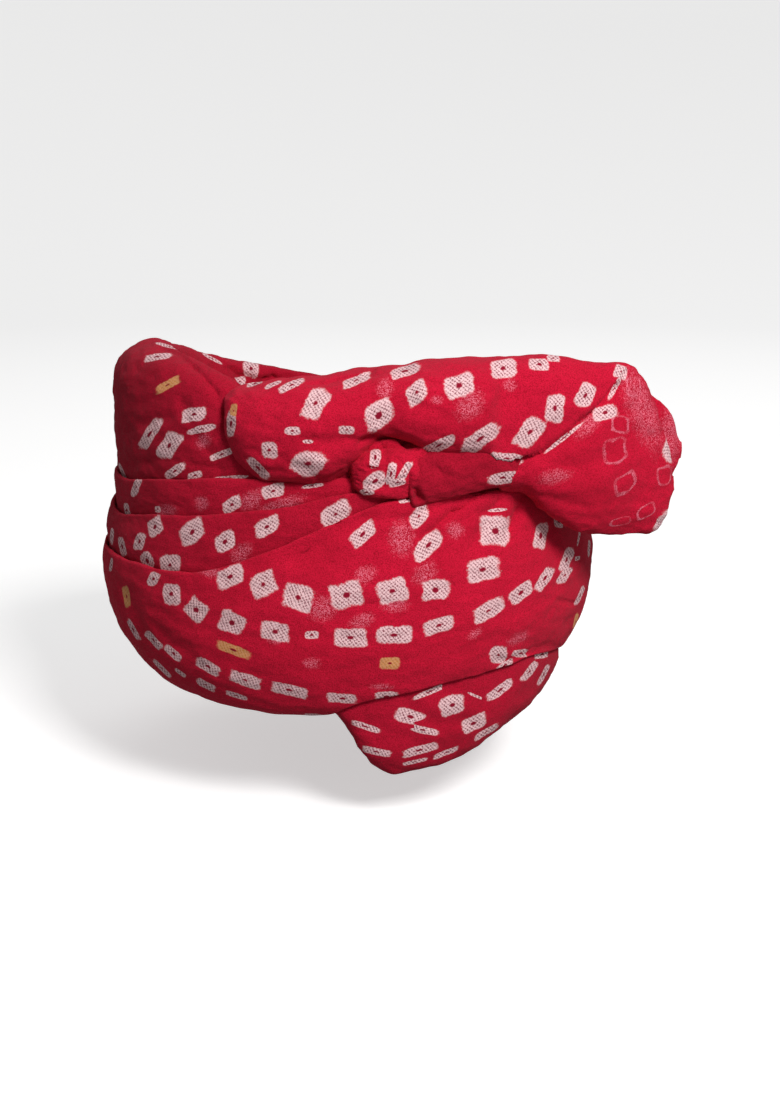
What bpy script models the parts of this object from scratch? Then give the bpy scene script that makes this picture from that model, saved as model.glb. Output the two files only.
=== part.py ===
"""A hand-tied pagri: one long tie-dyed cloth wound into overlapping wraps round a head-shaped hollow.

The origin is where the crown of the head meets the cloth. +Z is up, the wearer looks along -Y,
and the bow's fan stands out towards +X. Sizes are in metres and azimuths in degrees from -Y towards +X.
"""

import math

import bmesh
import bpy
import numpy as np

# Driving sizes
BODY_WIDTH = 0.251
BODY_DEPTH = 0.268
HEAD_WIDTH = 0.156
HEAD_LENGTH = 0.196
HEAD_HEIGHT = 0.112
CREST_HEIGHT = 0.056
CROWN_WALL = 0.006
CROWN_RIM = 0.104
CROWN_SEAM = 0.057
CROWN_DOME = 0.016
CROWN_SHOULDER = 0.004
FOLD_THICKNESS = 0.003
FOLD_OVERLAP = 0.006
WRAP_PUFF = 0.0022
SEAT_DROP = 0.012
GAP = 0.0006
CORNER_GAP = 3 * GAP
REST_GAP = 0.0008
BOW_LENGTH = 0.213
BOW_HEIGHT = 0.084
BOW_DEPTH = 0.052
BOW_LEFT = -0.057
BOW_INSET = 0.030
BOW_FRONT = BOW_INSET - BODY_DEPTH / 2
BOW_LEVEL = 0.030
LOOP_LENGTH = 0.100
KNOT_WIDTH = 0.040
KNOT_HEIGHT = 0.034
KNOT_DEPTH = 0.026
POCKET_FOLD_THICKNESS = 0.013
POCKET_FOLD_HEIGHT = 0.024

CLOTH_ROUGHNESS = 0.86
CLOTH_TINTS = {
    "first_turn": (0.39, 0.007, 0.020),
    "belly_wrap": (0.50, 0.010, 0.030),
    "middle_wrap": (0.42, 0.010, 0.024),
    "upper_wrap": (0.44, 0.014, 0.030),
    "crest_wrap": (0.36, 0.008, 0.020),
    "crown": (0.34, 0.007, 0.018),
    "inner_band": (0.34, 0.007, 0.018),
    "bow": (0.48, 0.010, 0.034),
    "back_loop": (0.52, 0.030, 0.055),
    "pocket_fold": (0.40, 0.006, 0.018),
    "knot": (0.46, 0.010, 0.028),
}

BODY_ROUNDNESS = 2.2
ENVELOPE_ROWS = 22
ANGLE_STEP = 8
STEP_FINE = 2
NOTCH_FROM = -8
NOTCH_TO = 8

# The body's outer surface up to the head's crown. Columns: height over the head's height,
# radius over half the body's width at the sides, radius over half its depth at brow and nape.
LOWER_PROFILE = (
    (-0.955, 0.70, 0.80),
    (-0.980, 0.75, 0.83),
    (-0.972, 0.81, 0.87),
    (-0.930, 0.86, 0.915),
    (-0.850, 0.915, 0.955),
    (-0.730, 0.968, 0.985),
    (-0.560, 1.00, 1.00),
    (-0.380, 0.99, 0.995),
    (-0.200, 0.955, 0.965),
    (0.000, 0.944, 0.94),
)

# Above the head's crown. Columns: height over the crest's height at that azimuth, then as above.
UPPER_PROFILE = (
    (0.30, 0.940, 0.92),
    (0.60, 0.938, 0.90),
    (0.80, 0.92, 0.875),
    (0.94, 0.86, 0.84),
    (1.00, 0.760, 0.81),
    (0.92, 0.705, 0.79),
    (0.66, 0.685, 0.785),
)

# Columns: azimuth, top of the crest over the crest's height.
CREST_TOP = (
    (-180, 0.23),
    (-150, 0.42),
    (-135, 0.56),
    (-120, 0.70),
    (-105, 0.82),
    (-90, 0.92),
    (-75, 0.98),
    (-60, 1.00),
    (-45, 0.98),
    (-30, 0.86),
    (-15, 0.62),
    (0, 0.47),
    (30, 0.40),
    (60, 0.36),
    (90, 0.32),
    (120, 0.25),
    (150, 0.21),
)

# Where one wrap folds over the next. Columns: azimuth, then the height of the belly wrap's,
# the middle wrap's and the upper wrap's top edge, over the head's height.
CREASES = (
    (-180, -0.50, -0.22, 0.00),
    (-150, -0.55, -0.30, -0.05),
    (-120, -0.52, -0.31, -0.10),
    (-90, -0.45, -0.26, -0.11),
    (-63, -0.407, -0.232, -0.08),
    (-47, -0.382, -0.175, -0.025),
    (-33, -0.366, -0.133, 0.015),
    (-22, -0.300, -0.098, 0.040),
    (-12, -0.215, -0.062, 0.040),
    (-3, -0.130, -0.020, 0.058),
    (4, -0.072, 0.000, 0.062),
    (11, -0.035, 0.005, 0.060),
    (30, -0.030, 0.030, 0.090),
    (60, -0.150, -0.020, 0.075),
    (90, -0.250, -0.080, 0.045),
    (120, -0.360, -0.140, 0.020),
    (150, -0.450, -0.180, 0.010),
)

# The first turn, which droops below the belly wrap on one side. Columns: azimuth, how far along the
# surface from the rim the belly wrap's lower edge lies and how far the turn hangs below that edge,
# both over the head's height.
DROOP = (
    (-180, 0.03, 0.004),
    (-20, 0.03, 0.004),
    (-8, 0.05, 0.004),
    (-3, 0.12, 0.02),
    (0, 0.18, 0.12),
    (3, 0.21, 0.24),
    (6.5, 0.235, 0.345),
    (12, 0.265, 0.415),
    (19, 0.30, 0.43),
    (29, 0.33, 0.42),
    (36, 0.36, 0.40),
    (44, 0.375, 0.36),
    (59, 0.33, 0.26),
    (75, 0.25, 0.15),
    (90, 0.15, 0.07),
    (110, 0.06, 0.01),
    (160, 0.03, 0.004),
)
DROOP_HEEL = 0.35
HEM_SEAT = -0.75
DROOP_CURVE = 0.8

# The bow, from its rounded left end to the fan's tip. Columns: place along the bow over its length,
# then the centre's depth and level and the half depth and half height, over the bow's depth and height.
BOW = (
    (0.000, 0.06, -0.06, 0.06, 0.05),
    (0.012, 0.04, -0.07, 0.25, 0.17),
    (0.045, 0.00, -0.09, 0.38, 0.25),
    (0.110, -0.05, -0.09, 0.46, 0.29),
    (0.200, -0.08, -0.06, 0.50, 0.30),
    (0.290, -0.05, 0.00, 0.50, 0.27),
    (0.370, 0.00, 0.07, 0.50, 0.23),
    (0.450, 0.00, 0.09, 0.50, 0.23),
    (0.530, 0.02, 0.04, 0.48, 0.29),
    (0.610, 0.06, -0.04, 0.44, 0.38),
    (0.700, 0.14, -0.13, 0.38, 0.46),
    (0.790, 0.26, -0.19, 0.32, 0.49),
    (0.878, 0.39, -0.22, 0.24, 0.49),
    (0.915, 0.45, -0.257, 0.19, 0.46),
    (0.948, 0.49, -0.337, 0.15, 0.39),
    (0.970, 0.52, -0.40, 0.11, 0.29),
    (0.988, 0.54, -0.424, 0.07, 0.16),
    (1.000, 0.55, -0.43, 0.02, 0.04),
)
BOW_SQUARENESS = 2.4
BOW_SIDES = 18

# The loop behind the fan, which shows past its edge. Columns as for the bow, over the loop's length.
LOOP = (
    (0.00, 0.52, -0.12, 0.05, 0.10),
    (0.08, 0.54, -0.13, 0.10, 0.24),
    (0.30, 0.60, -0.16, 0.14, 0.34),
    (0.55, 0.68, -0.21, 0.13, 0.38),
    (0.76, 0.78, -0.25, 0.11, 0.36),
    (0.88, 0.85, -0.27, 0.09, 0.28),
    (0.95, 0.90, -0.28, 0.07, 0.19),
    (1.00, 0.93, -0.29, 0.02, 0.05),
)
LOOP_OVERHANG = 0.006
LOOP_SIDES = 14

# Places on the body's outer surface that the small folds follow. Columns: azimuth, level over the
# head's height, stand-off over the fold's thickness.
POCKET_FOLD_PATH = (
    (11, 0.030, 0.15),
    (16, 0.060, 0.30),
    (22, 0.085, 0.35),
    (29, 0.095, 0.30),
    (36, 0.080, 0.15),
)
POCKET_FOLD_SIDES = 12
KNOT_AZIMUTH = 10.5
KNOT_LEVEL = 0.10
KNOT_TILT = -22
KNOT_SEGMENTS = 16
KNOT_RINGS = 10


def cubic(table, column, place, period=None):
    """Value of a table's column at a place in its first column, on a smooth curve with no overshoot."""
    xs = [row[0] for row in table]
    ys = [row[column] for row in table]
    if period:
        place = (place - xs[0]) % period + xs[0]
        xs = [xs[-1] - period] + xs + [xs[0] + period, xs[1] + period]
        ys = [ys[-1]] + ys + [ys[0], ys[1]]
    steps = np.diff(xs)
    slopes = np.diff(ys) / steps
    tangents = np.zeros(len(xs))
    for k in range(1, len(xs) - 1):
        before, after = slopes[k - 1], slopes[k]
        if before * after > 0:
            tangents[k] = 2 * before * after / (before + after)
    k = min(max(int(np.searchsorted(xs, place)) - 1, 0), len(steps) - 1)
    s = min(max((place - xs[k]) / steps[k], 0.0), 1.0)
    return (
        (1 + 2 * s) * (1 - s) ** 2 * ys[k]
        + s * (1 - s) ** 2 * steps[k] * tangents[k]
        + s * s * (3 - 2 * s) * ys[k + 1]
        + s * s * (s - 1) * steps[k] * tangents[k + 1]
    )


def oval(azimuth, side, end, roundness=BODY_ROUNDNESS):
    """Radius at an azimuth of an oval with that half width and half depth."""
    turn = math.radians(azimuth)
    return (
        abs(math.sin(turn) / side) ** roundness + abs(math.cos(turn) / end) ** roundness
    ) ** (-1 / roundness)


def head_radius(azimuth, clearance=0.0):
    """Radius of the head's hollow at an azimuth."""
    return oval(azimuth, HEAD_WIDTH / 2, HEAD_LENGTH / 2, 2.0) + clearance


def core_radius(azimuth):
    """Outer radius of the crown's wall, where the wraps' inner sides lie."""
    return head_radius(azimuth, CROWN_WALL + GAP)


class Meridian:
    """The body's outer line at one azimuth, as points (radius, height) from the rim up over the crest."""

    SAMPLES = 10

    def __init__(self, azimuth):
        top = CREST_HEIGHT * cubic(CREST_TOP, 1, azimuth, 360)
        corners = [(h * HEAD_HEIGHT, s, e) for h, s, e in LOWER_PROFILE]
        corners += [(h * top, s, e) for h, s, e in UPPER_PROFILE]
        knots = np.array(
            [(oval(azimuth, s * BODY_WIDTH / 2, e * BODY_DEPTH / 2), z) for z, s, e in corners]
        )
        self.points = self.through(knots)
        lengths = np.hypot(*np.diff(self.points, axis=0).T)
        self.arc = np.concatenate(([0.0], np.cumsum(lengths)))
        self.widest = int(np.argmax(self.points[:, 0]))
        self.highest = int(np.argmax(self.points[:, 1]))

    def through(self, knots):
        """Catmull-Rom curve through the knots."""
        ends = np.vstack([2 * knots[0] - knots[1], knots, 2 * knots[-1] - knots[-2]])
        pieces = []
        for k in range(len(knots) - 1):
            a, b, c, d = ends[k : k + 4]
            for s in np.linspace(0, 1, self.SAMPLES, endpoint=False):
                pieces.append(
                    0.5
                    * (
                        2 * b
                        + (c - a) * s
                        + (2 * a - 5 * b + 4 * c - d) * s * s
                        + (3 * b - a - 3 * c + d) * s**3
                    )
                )
        return np.array(pieces + [knots[-1]])

    def arc_at_height(self, height):
        """Distance along the line at which its outer side reaches a height."""
        run = slice(self.widest, self.highest + 1)
        return float(np.interp(height, self.points[run, 1], self.arc[run]))

    def at(self, arc):
        """Point at a distance along the line."""
        return np.array([np.interp(arc, self.arc, self.points[:, k]) for k in (0, 1)])

    def outward(self, arc, reach=0.002):
        """Unit vector away from the cloth at a distance along the line."""
        run = self.at(arc + reach) - self.at(arc - reach)
        run /= np.hypot(*run)
        return np.array([run[1], -run[0]])


class BodySection:
    """The wraps' sections at one azimuth, each a closed outline of (radius, height) points."""

    def __init__(self, azimuth):
        self.azimuth = azimuth
        self.line = Meridian(azimuth)
        self.core = core_radius(azimuth)
        self.swells = []
        low_edge = cubic(DROOP, 1, azimuth, 360) * HEAD_HEIGHT
        edges = [self.line.arc_at_height(cubic(CREASES, k, azimuth, 360) * HEAD_HEIGHT) for k in (1, 2, 3)]
        self.first_turn(low_edge)
        hem = self.hem(low_edge, 1)
        inset = 0.0
        for name, start, end, puff in (
            ("belly_wrap", low_edge, edges[0], 0.0),
            ("middle_wrap", edges[0], edges[1], WRAP_PUFF),
            ("upper_wrap", edges[1], edges[2], WRAP_PUFF),
        ):
            face = self.face(start, end, inset, puff, self.FACE_ROWS[name])
            lip = self.lip(end, self.depth_of_inset(start, end, inset))
            self.store(name, hem + face + lip[0])
            hem = lip[1]
            inset = self.depth_of_inset(start, end, inset) + FOLD_THICKNESS + GAP
        face = self.face(edges[2], self.line.arc[-1], inset, 0.0, self.FACE_ROWS["crest_wrap"])
        seat = [np.array([self.core, CROWN_SHOULDER])]
        self.store("crest_wrap", hem + face + seat)

    FACE_ROWS = {"belly_wrap": 10, "middle_wrap": 5, "upper_wrap": 5, "crest_wrap": 11}

    def store(self, name, outline):
        """Keeps one wrap's outline under its node's name."""
        setattr(self, name, np.array(outline))

    def depth_of_inset(self, start, end, inset):
        """How far a wrap that starts tucked under a fold still lies below the surface at its other edge."""
        return inset * math.exp(-(end - start) / (2 * FOLD_OVERLAP))

    def point(self, arc, inset):
        """Point below the surface by an inset."""
        return self.line.at(arc) - self.line.outward(arc) * inset

    def face(self, start, end, inset, puff, rows):
        """A wrap's outer face, tucked in at its start and swelling by up to a puff."""
        swell = puff * min(1.0, (end - start) / (4 * FOLD_OVERLAP))
        self.swells.append((start, end, swell))
        points = []
        for s in np.linspace(0, 1, rows):
            arc = start + s * (end - start)
            depth = self.depth_of_inset(start, arc, inset)
            points.append(self.point(arc, depth - swell * math.sin(math.pi * s)))
        return points

    def lip(self, arc, inset):
        """The fold at a wrap's top edge: its own inner side, and the side of the wrap tucked under it."""
        inner = inset + FOLD_THICKNESS
        under = [self.point(arc, inner), self.point(arc - FOLD_OVERLAP, inner)]
        seat = np.array([self.core, self.line.at(arc)[1] - SEAT_DROP])
        tucked = [self.point(arc - FOLD_OVERLAP + CORNER_GAP, inner + GAP), self.point(arc, inner + GAP)]
        return under + [seat], [seat + (0, GAP)] + tucked

    def hull(self, rows):
        """Points of a line that clears every wrap above the body's widest place."""
        points = []
        for arc in np.linspace(self.line.arc[self.line.widest], self.line.arc[-1], rows):
            reach = REST_GAP
            for start, end, swell in self.swells:
                if start < arc < end:
                    reach += swell * math.sin(math.pi * (arc - start) / (end - start))
            points.append(self.point(arc, -reach))
        return points

    def hem(self, arc, side):
        """The belly wrap's lower fold. side is 1 for its own inner side and 0 for the first turn's."""
        depth = FOLD_THICKNESS + (1 - side) * GAP
        seat = np.array([self.core, HEM_SEAT * HEAD_HEIGHT - (1 - side) * GAP])
        high = arc + FOLD_OVERLAP - (1 - side) * CORNER_GAP
        return [seat, self.point(high, depth), self.point(arc, depth)]

    def first_turn(self, low_edge):
        """The first turn: a thin ring inside the rim, which swells where it droops below the belly wrap."""
        seat, high, edge = self.hem(low_edge, 0)
        hang = HEAD_HEIGHT * cubic(DROOP, 2, self.azimuth, 360)
        heel = self.core + DROOP_HEEL * (edge[0] - self.core)
        level = edge[1]
        face = []
        for turn in np.linspace(0, math.pi, 9)[1:]:
            reach = edge[0] - heel if turn < math.pi / 2 else heel - self.core
            across = math.copysign(abs(math.cos(turn)) ** DROOP_CURVE, math.cos(turn))
            drop = math.sin(turn) ** DROOP_CURVE
            face.append(np.array([heel + reach * across, level - hang * drop]))
        self.store("first_turn", [seat, high, edge] + face)


def azimuths():
    """Azimuths of the lofts' sections, closer together at the notch where the first turn starts to droop."""
    coarse = [a for a in range(-180, 180, ANGLE_STEP) if not NOTCH_FROM < a < NOTCH_TO]
    return sorted(coarse + list(range(NOTCH_FROM + STEP_FINE, NOTCH_TO, STEP_FINE)))


def upright(azimuth, point):
    """Turns a (radius, height) point at an azimuth into x, y, z."""
    turn = math.radians(azimuth)
    return (point[0] * math.sin(turn), -point[0] * math.cos(turn), point[1])


def loft(name, sections, closed, collection):
    """A solid through closed sections with as many points each. It joins up if closed, else its ends close."""
    mesh = bmesh.new()
    rings = [[mesh.verts.new(p) for p in section] for section in sections]
    pairs = list(zip(rings, rings[1:] + rings[:1])) if closed else list(zip(rings, rings[1:]))
    for near, far in pairs:
        for k in range(len(near)):
            n = (k + 1) % len(near)
            mesh.faces.new((near[k], near[n], far[n], far[k]))
    if not closed:
        mesh.faces.new(rings[0])
        mesh.faces.new(rings[-1])
    bmesh.ops.recalc_face_normals(mesh, faces=mesh.faces)
    data = bpy.data.meshes.new(name)
    mesh.to_mesh(data)
    mesh.free()
    data.shade_smooth()
    solid = bpy.data.objects.new(name, data)
    collection.objects.link(solid)
    return solid


def dome_loft(name, sections, collection):
    """A solid of revolution-like sections, each from a lower point on the axis to an upper one."""
    mesh = bmesh.new()
    low = mesh.verts.new(sections[0][0])
    high = mesh.verts.new(sections[0][-1])
    rings = [[mesh.verts.new(p) for p in section[1:-1]] for section in sections]
    for near, far in zip(rings, rings[1:] + rings[:1]):
        mesh.faces.new((low, near[0], far[0]))
        mesh.faces.new((high, far[-1], near[-1]))
        for a, b, c, d in zip(near, near[1:], far[1:], far):
            mesh.faces.new((a, b, c, d))
    bmesh.ops.recalc_face_normals(mesh, faces=mesh.faces)
    data = bpy.data.meshes.new(name)
    mesh.to_mesh(data)
    mesh.free()
    data.shade_smooth()
    solid = bpy.data.objects.new(name, data)
    collection.objects.link(solid)
    return solid


def crown_outline(azimuth, clearance=0.0):
    """The crown's outer line from its seam up and over to the axis, as (radius, height) points."""
    wall = core_radius(azimuth) - GAP + clearance
    line = [(wall, -CROWN_SEAM), (wall, -CROWN_SEAM / 2), (wall, CROWN_SHOULDER - GAP + clearance)]
    for s in (0.25, 0.5, 0.75):
        turn = s * math.pi / 2
        rise = CROWN_SHOULDER + (CROWN_DOME - CROWN_SHOULDER) * math.sin(turn)
        line.append((wall * math.cos(turn) ** 0.8, rise + clearance))
    return line + [(0.0, CROWN_DOME + clearance)]


def hollow_outline(azimuth):
    """The head's hollow in the crown, from the axis down to the seam, as (radius, height) points."""
    line = [(0.0, 0.0)]
    for s in (0.2, 0.4, 0.6, 0.8, 1.0):
        turn = s * math.pi / 2
        line.append((head_radius(azimuth) * math.sin(turn) ** 0.85, -CROWN_SEAM * (1 - math.cos(turn))))
    return line


def tube_sections(rows, place, sides):
    """Rounded sections along X. place turns a row into centre x, y, z, half depth and half height."""
    sections = []
    for row in rows:
        x, y, z, depth, height = place(row)
        section = []
        for k in range(sides):
            turn = 2 * math.pi * k / sides
            across = math.copysign(abs(math.cos(turn)) ** (2 / BOW_SQUARENESS), math.cos(turn))
            rise = math.copysign(abs(math.sin(turn)) ** (2 / BOW_SQUARENESS), math.sin(turn))
            section.append((x, y + depth * across, z + height * rise))
        sections.append(section)
    return sections


def place_bow(row, clearance=0.0):
    """Centre and half sizes of the bow at a row of its table."""
    x = BOW_LEFT + row[0] * BOW_LENGTH
    if row[0] in (0.0, 1.0):
        x += math.copysign(clearance, row[0] - 0.5)
    return (
        x,
        BOW_FRONT + row[1] * BOW_DEPTH,
        BOW_LEVEL + row[2] * BOW_HEIGHT,
        row[3] * BOW_DEPTH + clearance,
        row[4] * BOW_HEIGHT + clearance,
    )


def place_loop(row):
    """Centre and half sizes of the back loop at a row of its table."""
    tip = BOW_LEFT + BOW_LENGTH + LOOP_OVERHANG
    return (
        tip - (1 - row[0]) * LOOP_LENGTH,
        BOW_FRONT + row[1] * BOW_DEPTH,
        BOW_LEVEL + row[2] * BOW_HEIGHT,
        row[3] * BOW_DEPTH,
        row[4] * BOW_HEIGHT,
    )


def on_body(azimuth, level, stand_off):
    """Point off the body's outer surface at an azimuth and a height."""
    line = Meridian(azimuth)
    arc = line.arc_at_height(level * HEAD_HEIGHT)
    return upright(azimuth, line.at(arc) + line.outward(arc) * stand_off)


def cut(solid, cutter):
    """Takes a cutter's shape out of a solid."""
    step = solid.modifiers.new("clear of " + cutter.name, "BOOLEAN")
    step.operation = "DIFFERENCE"
    step.solver = "EXACT"
    step.object = cutter


def as_cutter(solid):
    """Marks a solid as a cutter, which isn't part of the pagri."""
    solid.hide_render = True
    solid.display_type = "WIRE"
    return solid


def dye(piece):
    """Gives a piece its own cloth: dull crimson georgette in that piece's tint."""
    cloth = bpy.data.materials.new(piece.name + " cloth")
    cloth.use_nodes = True
    shader = cloth.node_tree.nodes["Principled BSDF"]
    shader.inputs["Base Color"].default_value = (*CLOTH_TINTS[piece.name], 1.0)
    shader.inputs["Roughness"].default_value = CLOTH_ROUGHNESS
    piece.data.materials.append(cloth)


def make_wraps(sections, collection):
    """The wound wraps, one ring each."""
    for name in ("first_turn", "belly_wrap", "middle_wrap", "upper_wrap", "crest_wrap"):
        rings = [[upright(s.azimuth, p) for p in getattr(s, name)] for s in sections]
        loft(name, rings, True, collection)


def make_crown(sections, collection):
    """The gathered layers over the top of the head."""
    lines = []
    for section in sections:
        line = hollow_outline(section.azimuth) + crown_outline(section.azimuth)
        lines.append([upright(section.azimuth, p) for p in line])
    dome_loft("crown", lines, collection)


def make_inner_band(sections, collection):
    """The inner turns round the head, below the crown."""
    top = -CROWN_SEAM - GAP
    rings = []
    for section in sections:
        inside = head_radius(section.azimuth)
        outside = core_radius(section.azimuth) - GAP
        outline = ((inside, -CROWN_RIM), (outside, -CROWN_RIM), (outside, top), (inside, top))
        rings.append([upright(section.azimuth, p) for p in outline])
    loft("inner_band", rings, True, collection)


def make_envelope(sections, collection):
    """A cutter just larger than the wound body, so that what lies on the body fits it."""
    lines = []
    for section in sections:
        grown = section.hull(ENVELOPE_ROWS)
        line = [(0.0, grown[0][1])] + grown + crown_outline(section.azimuth, REST_GAP)[3:]
        lines.append([upright(section.azimuth, p) for p in line])
    return as_cutter(dome_loft("body envelope", lines, collection))


def make_bow(collection, cutters, envelope):
    """The bow across the brow, which opens into a fan. Returns a slightly larger copy as a cutter."""
    bow = loft("bow", tube_sections(BOW, place_bow, BOW_SIDES), False, collection)
    cut(bow, envelope)
    grown = tube_sections(BOW, lambda row: place_bow(row, GAP), BOW_SIDES)
    return as_cutter(loft("bow room", grown, False, cutters))


def make_back_loop(collection, envelope, bow_room):
    """The thin loop behind the fan."""
    loop = loft("back_loop", tube_sections(LOOP, place_loop, LOOP_SIDES), False, collection)
    cut(loop, envelope)
    cut(loop, bow_room)


def fold_sections(grow=0.0):
    """Round sections of the fold below the bow, along its path on the body."""
    path = []
    for azimuth, level, off in POCKET_FOLD_PATH:
        path.append(np.array(on_body(azimuth, level, off * POCKET_FOLD_THICKNESS)))
    runs = np.gradient(np.array(path), axis=0)
    sections = []
    for k, (centre, run) in enumerate(zip(path, runs)):
        run = run / np.linalg.norm(run)
        out = np.array([centre[0], centre[1], 0.0])
        out -= run * np.dot(out, run)
        out /= np.linalg.norm(out)
        rise = np.cross(run, out)
        share = 0.55 if k in (0, len(path) - 1) else 1.0
        deep = out * (share * POCKET_FOLD_THICKNESS / 2 + grow)
        tall = rise * (share * POCKET_FOLD_HEIGHT / 2 + grow)
        turns = [2 * math.pi * n / POCKET_FOLD_SIDES for n in range(POCKET_FOLD_SIDES)]
        sections.append([centre + deep * math.cos(t) + tall * math.sin(t) for t in turns])
    return sections


def make_pocket_fold(collection, cutters, envelope, bow_room):
    """The rolled edge that closes the pocket below the bow. Returns a slightly larger copy as a cutter."""
    fold = loft("pocket_fold", fold_sections(), False, collection)
    cut(fold, envelope)
    cut(fold, bow_room)
    return as_cutter(loft("fold room", fold_sections(GAP), False, cutters))


def make_knot(collection, envelope, others):
    """The knot that draws the bow in at its waist."""
    mesh = bmesh.new()
    bmesh.ops.create_uvsphere(mesh, u_segments=KNOT_SEGMENTS, v_segments=KNOT_RINGS, radius=0.5)
    bmesh.ops.scale(mesh, vec=(KNOT_WIDTH, KNOT_DEPTH, KNOT_HEIGHT), verts=mesh.verts)
    data = bpy.data.meshes.new("knot")
    mesh.to_mesh(data)
    mesh.free()
    data.shade_smooth()
    knot = bpy.data.objects.new("knot", data)
    collection.objects.link(knot)
    knot.location = on_body(KNOT_AZIMUTH, KNOT_LEVEL, KNOT_DEPTH * 0.12)
    knot.rotation_euler = (0, math.radians(KNOT_TILT), math.radians(KNOT_AZIMUTH))
    cut(knot, envelope)
    for other in others:
        cut(knot, other)


def main():
    """Builds the pagri."""
    for old in list(bpy.data.objects):
        bpy.data.objects.remove(old)
    pagri = bpy.data.collections.new("tied pagri")
    cutters = bpy.data.collections.new("cutters")
    for collection in (pagri, cutters):
        bpy.context.scene.collection.children.link(collection)
    sections = [BodySection(a) for a in azimuths()]
    make_wraps(sections, pagri)
    make_crown(sections, pagri)
    make_inner_band(sections, pagri)
    envelope = make_envelope(sections, cutters)
    bow_room = make_bow(pagri, cutters, envelope)
    make_back_loop(pagri, envelope, bow_room)
    fold_room = make_pocket_fold(pagri, cutters, envelope, bow_room)
    make_knot(pagri, envelope, (bow_room, fold_room))
    for piece in pagri.objects:
        dye(piece)


main()
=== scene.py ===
"""Looks of a hand-tied pagri: wound wraps, a crest, a knot and a bow of crimson tie-dyed georgette.

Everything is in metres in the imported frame: the origin is where the head's crown meets the cloth,
+Z is up, and the wearer looks along -Y. Azimuths are in degrees from -Y towards +X.
"""

import logging
import math
from dataclasses import dataclass, field
from enum import Enum

import bpy
import numpy as np
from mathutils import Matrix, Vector, noise
from mathutils.bvhtree import BVHTree


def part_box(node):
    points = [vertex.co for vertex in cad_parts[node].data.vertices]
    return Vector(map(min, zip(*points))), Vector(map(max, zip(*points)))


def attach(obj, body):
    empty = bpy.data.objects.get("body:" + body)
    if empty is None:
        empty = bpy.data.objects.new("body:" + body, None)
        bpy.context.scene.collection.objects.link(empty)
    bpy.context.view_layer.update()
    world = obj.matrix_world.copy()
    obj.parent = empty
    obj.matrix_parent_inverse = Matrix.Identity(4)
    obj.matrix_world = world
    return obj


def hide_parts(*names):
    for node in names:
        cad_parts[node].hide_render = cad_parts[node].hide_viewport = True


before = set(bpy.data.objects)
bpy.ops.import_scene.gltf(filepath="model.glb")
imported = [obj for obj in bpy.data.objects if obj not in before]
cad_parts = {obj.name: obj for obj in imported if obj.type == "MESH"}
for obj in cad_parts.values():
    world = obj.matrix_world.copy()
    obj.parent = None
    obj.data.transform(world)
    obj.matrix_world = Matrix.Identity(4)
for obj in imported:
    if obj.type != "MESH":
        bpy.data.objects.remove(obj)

LOG = logging.getLogger("pagri")

# A place or a colour, and two bounds, shares or half sizes.
Triple = tuple[float, float, float]
Pair = tuple[float, float]


class Dye(Enum):
    """What a tied spot took up in the dye bath."""

    WHITE = 0.0
    YELLOW = 1.0


@dataclass(frozen=True)
class Sizes:
    """Sizes that the wraps share, as in the part's own source, with thinner, flatter folds.

    Attributes:
        body_width: Width of the wound body.
        body_depth: Its depth from brow to nape.
        head_width: Width of the head's hollow.
        head_length: Its length from brow to nape.
        head_height: What the tables' heights below the crown are shares of.
        crest_height: What the heights above it are shares of.
        crown_wall: Thickness of the inner turns.
        crown_rim: How far below the crown they end.
        crown_dome: How high the gathered layers rise over the top.
        crown_shoulder: How high they begin to.
        fold_thickness: Thickness of a folded edge.
        fold_overlap: How far a wrap goes on under the fold below it.
        wrap_puff: How far a narrow wrap swells.
        seat_drop: How far below its edge a wrap meets the inner turns.
        gap: What is left between pieces that touch.
        roundness: How square the body is seen from above: 2 is an oval.
        hem_seat: Where the lowest edge meets the inner turns, over the head's height.
        droop_heel: Where the first turn hangs lowest, from the inner turns out, as a share.
        droop_curve: How full its round is: 1 is an oval.
    """

    body_width: float = 0.251
    body_depth: float = 0.268
    head_width: float = 0.156
    head_length: float = 0.196
    head_height: float = 0.112
    crest_height: float = 0.056
    crown_wall: float = 0.006
    crown_rim: float = 0.104
    crown_dome: float = 0.016
    crown_shoulder: float = 0.004
    fold_thickness: float = 0.0022
    fold_overlap: float = 0.006
    wrap_puff: float = 0.0008
    seat_drop: float = 0.012
    gap: float = 0.0006
    roundness: float = 2.2
    hem_seat: float = -0.75
    droop_heel: float = 0.35
    droop_curve: float = 0.8


def put_in_scene(name: str, data: bpy.types.ID) -> bpy.types.Object:
    """Makes an object of a mesh, a lamp or a camera and links it to the scene."""
    made = bpy.data.objects.new(name, data)
    bpy.context.scene.collection.objects.link(made)
    return made


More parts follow.
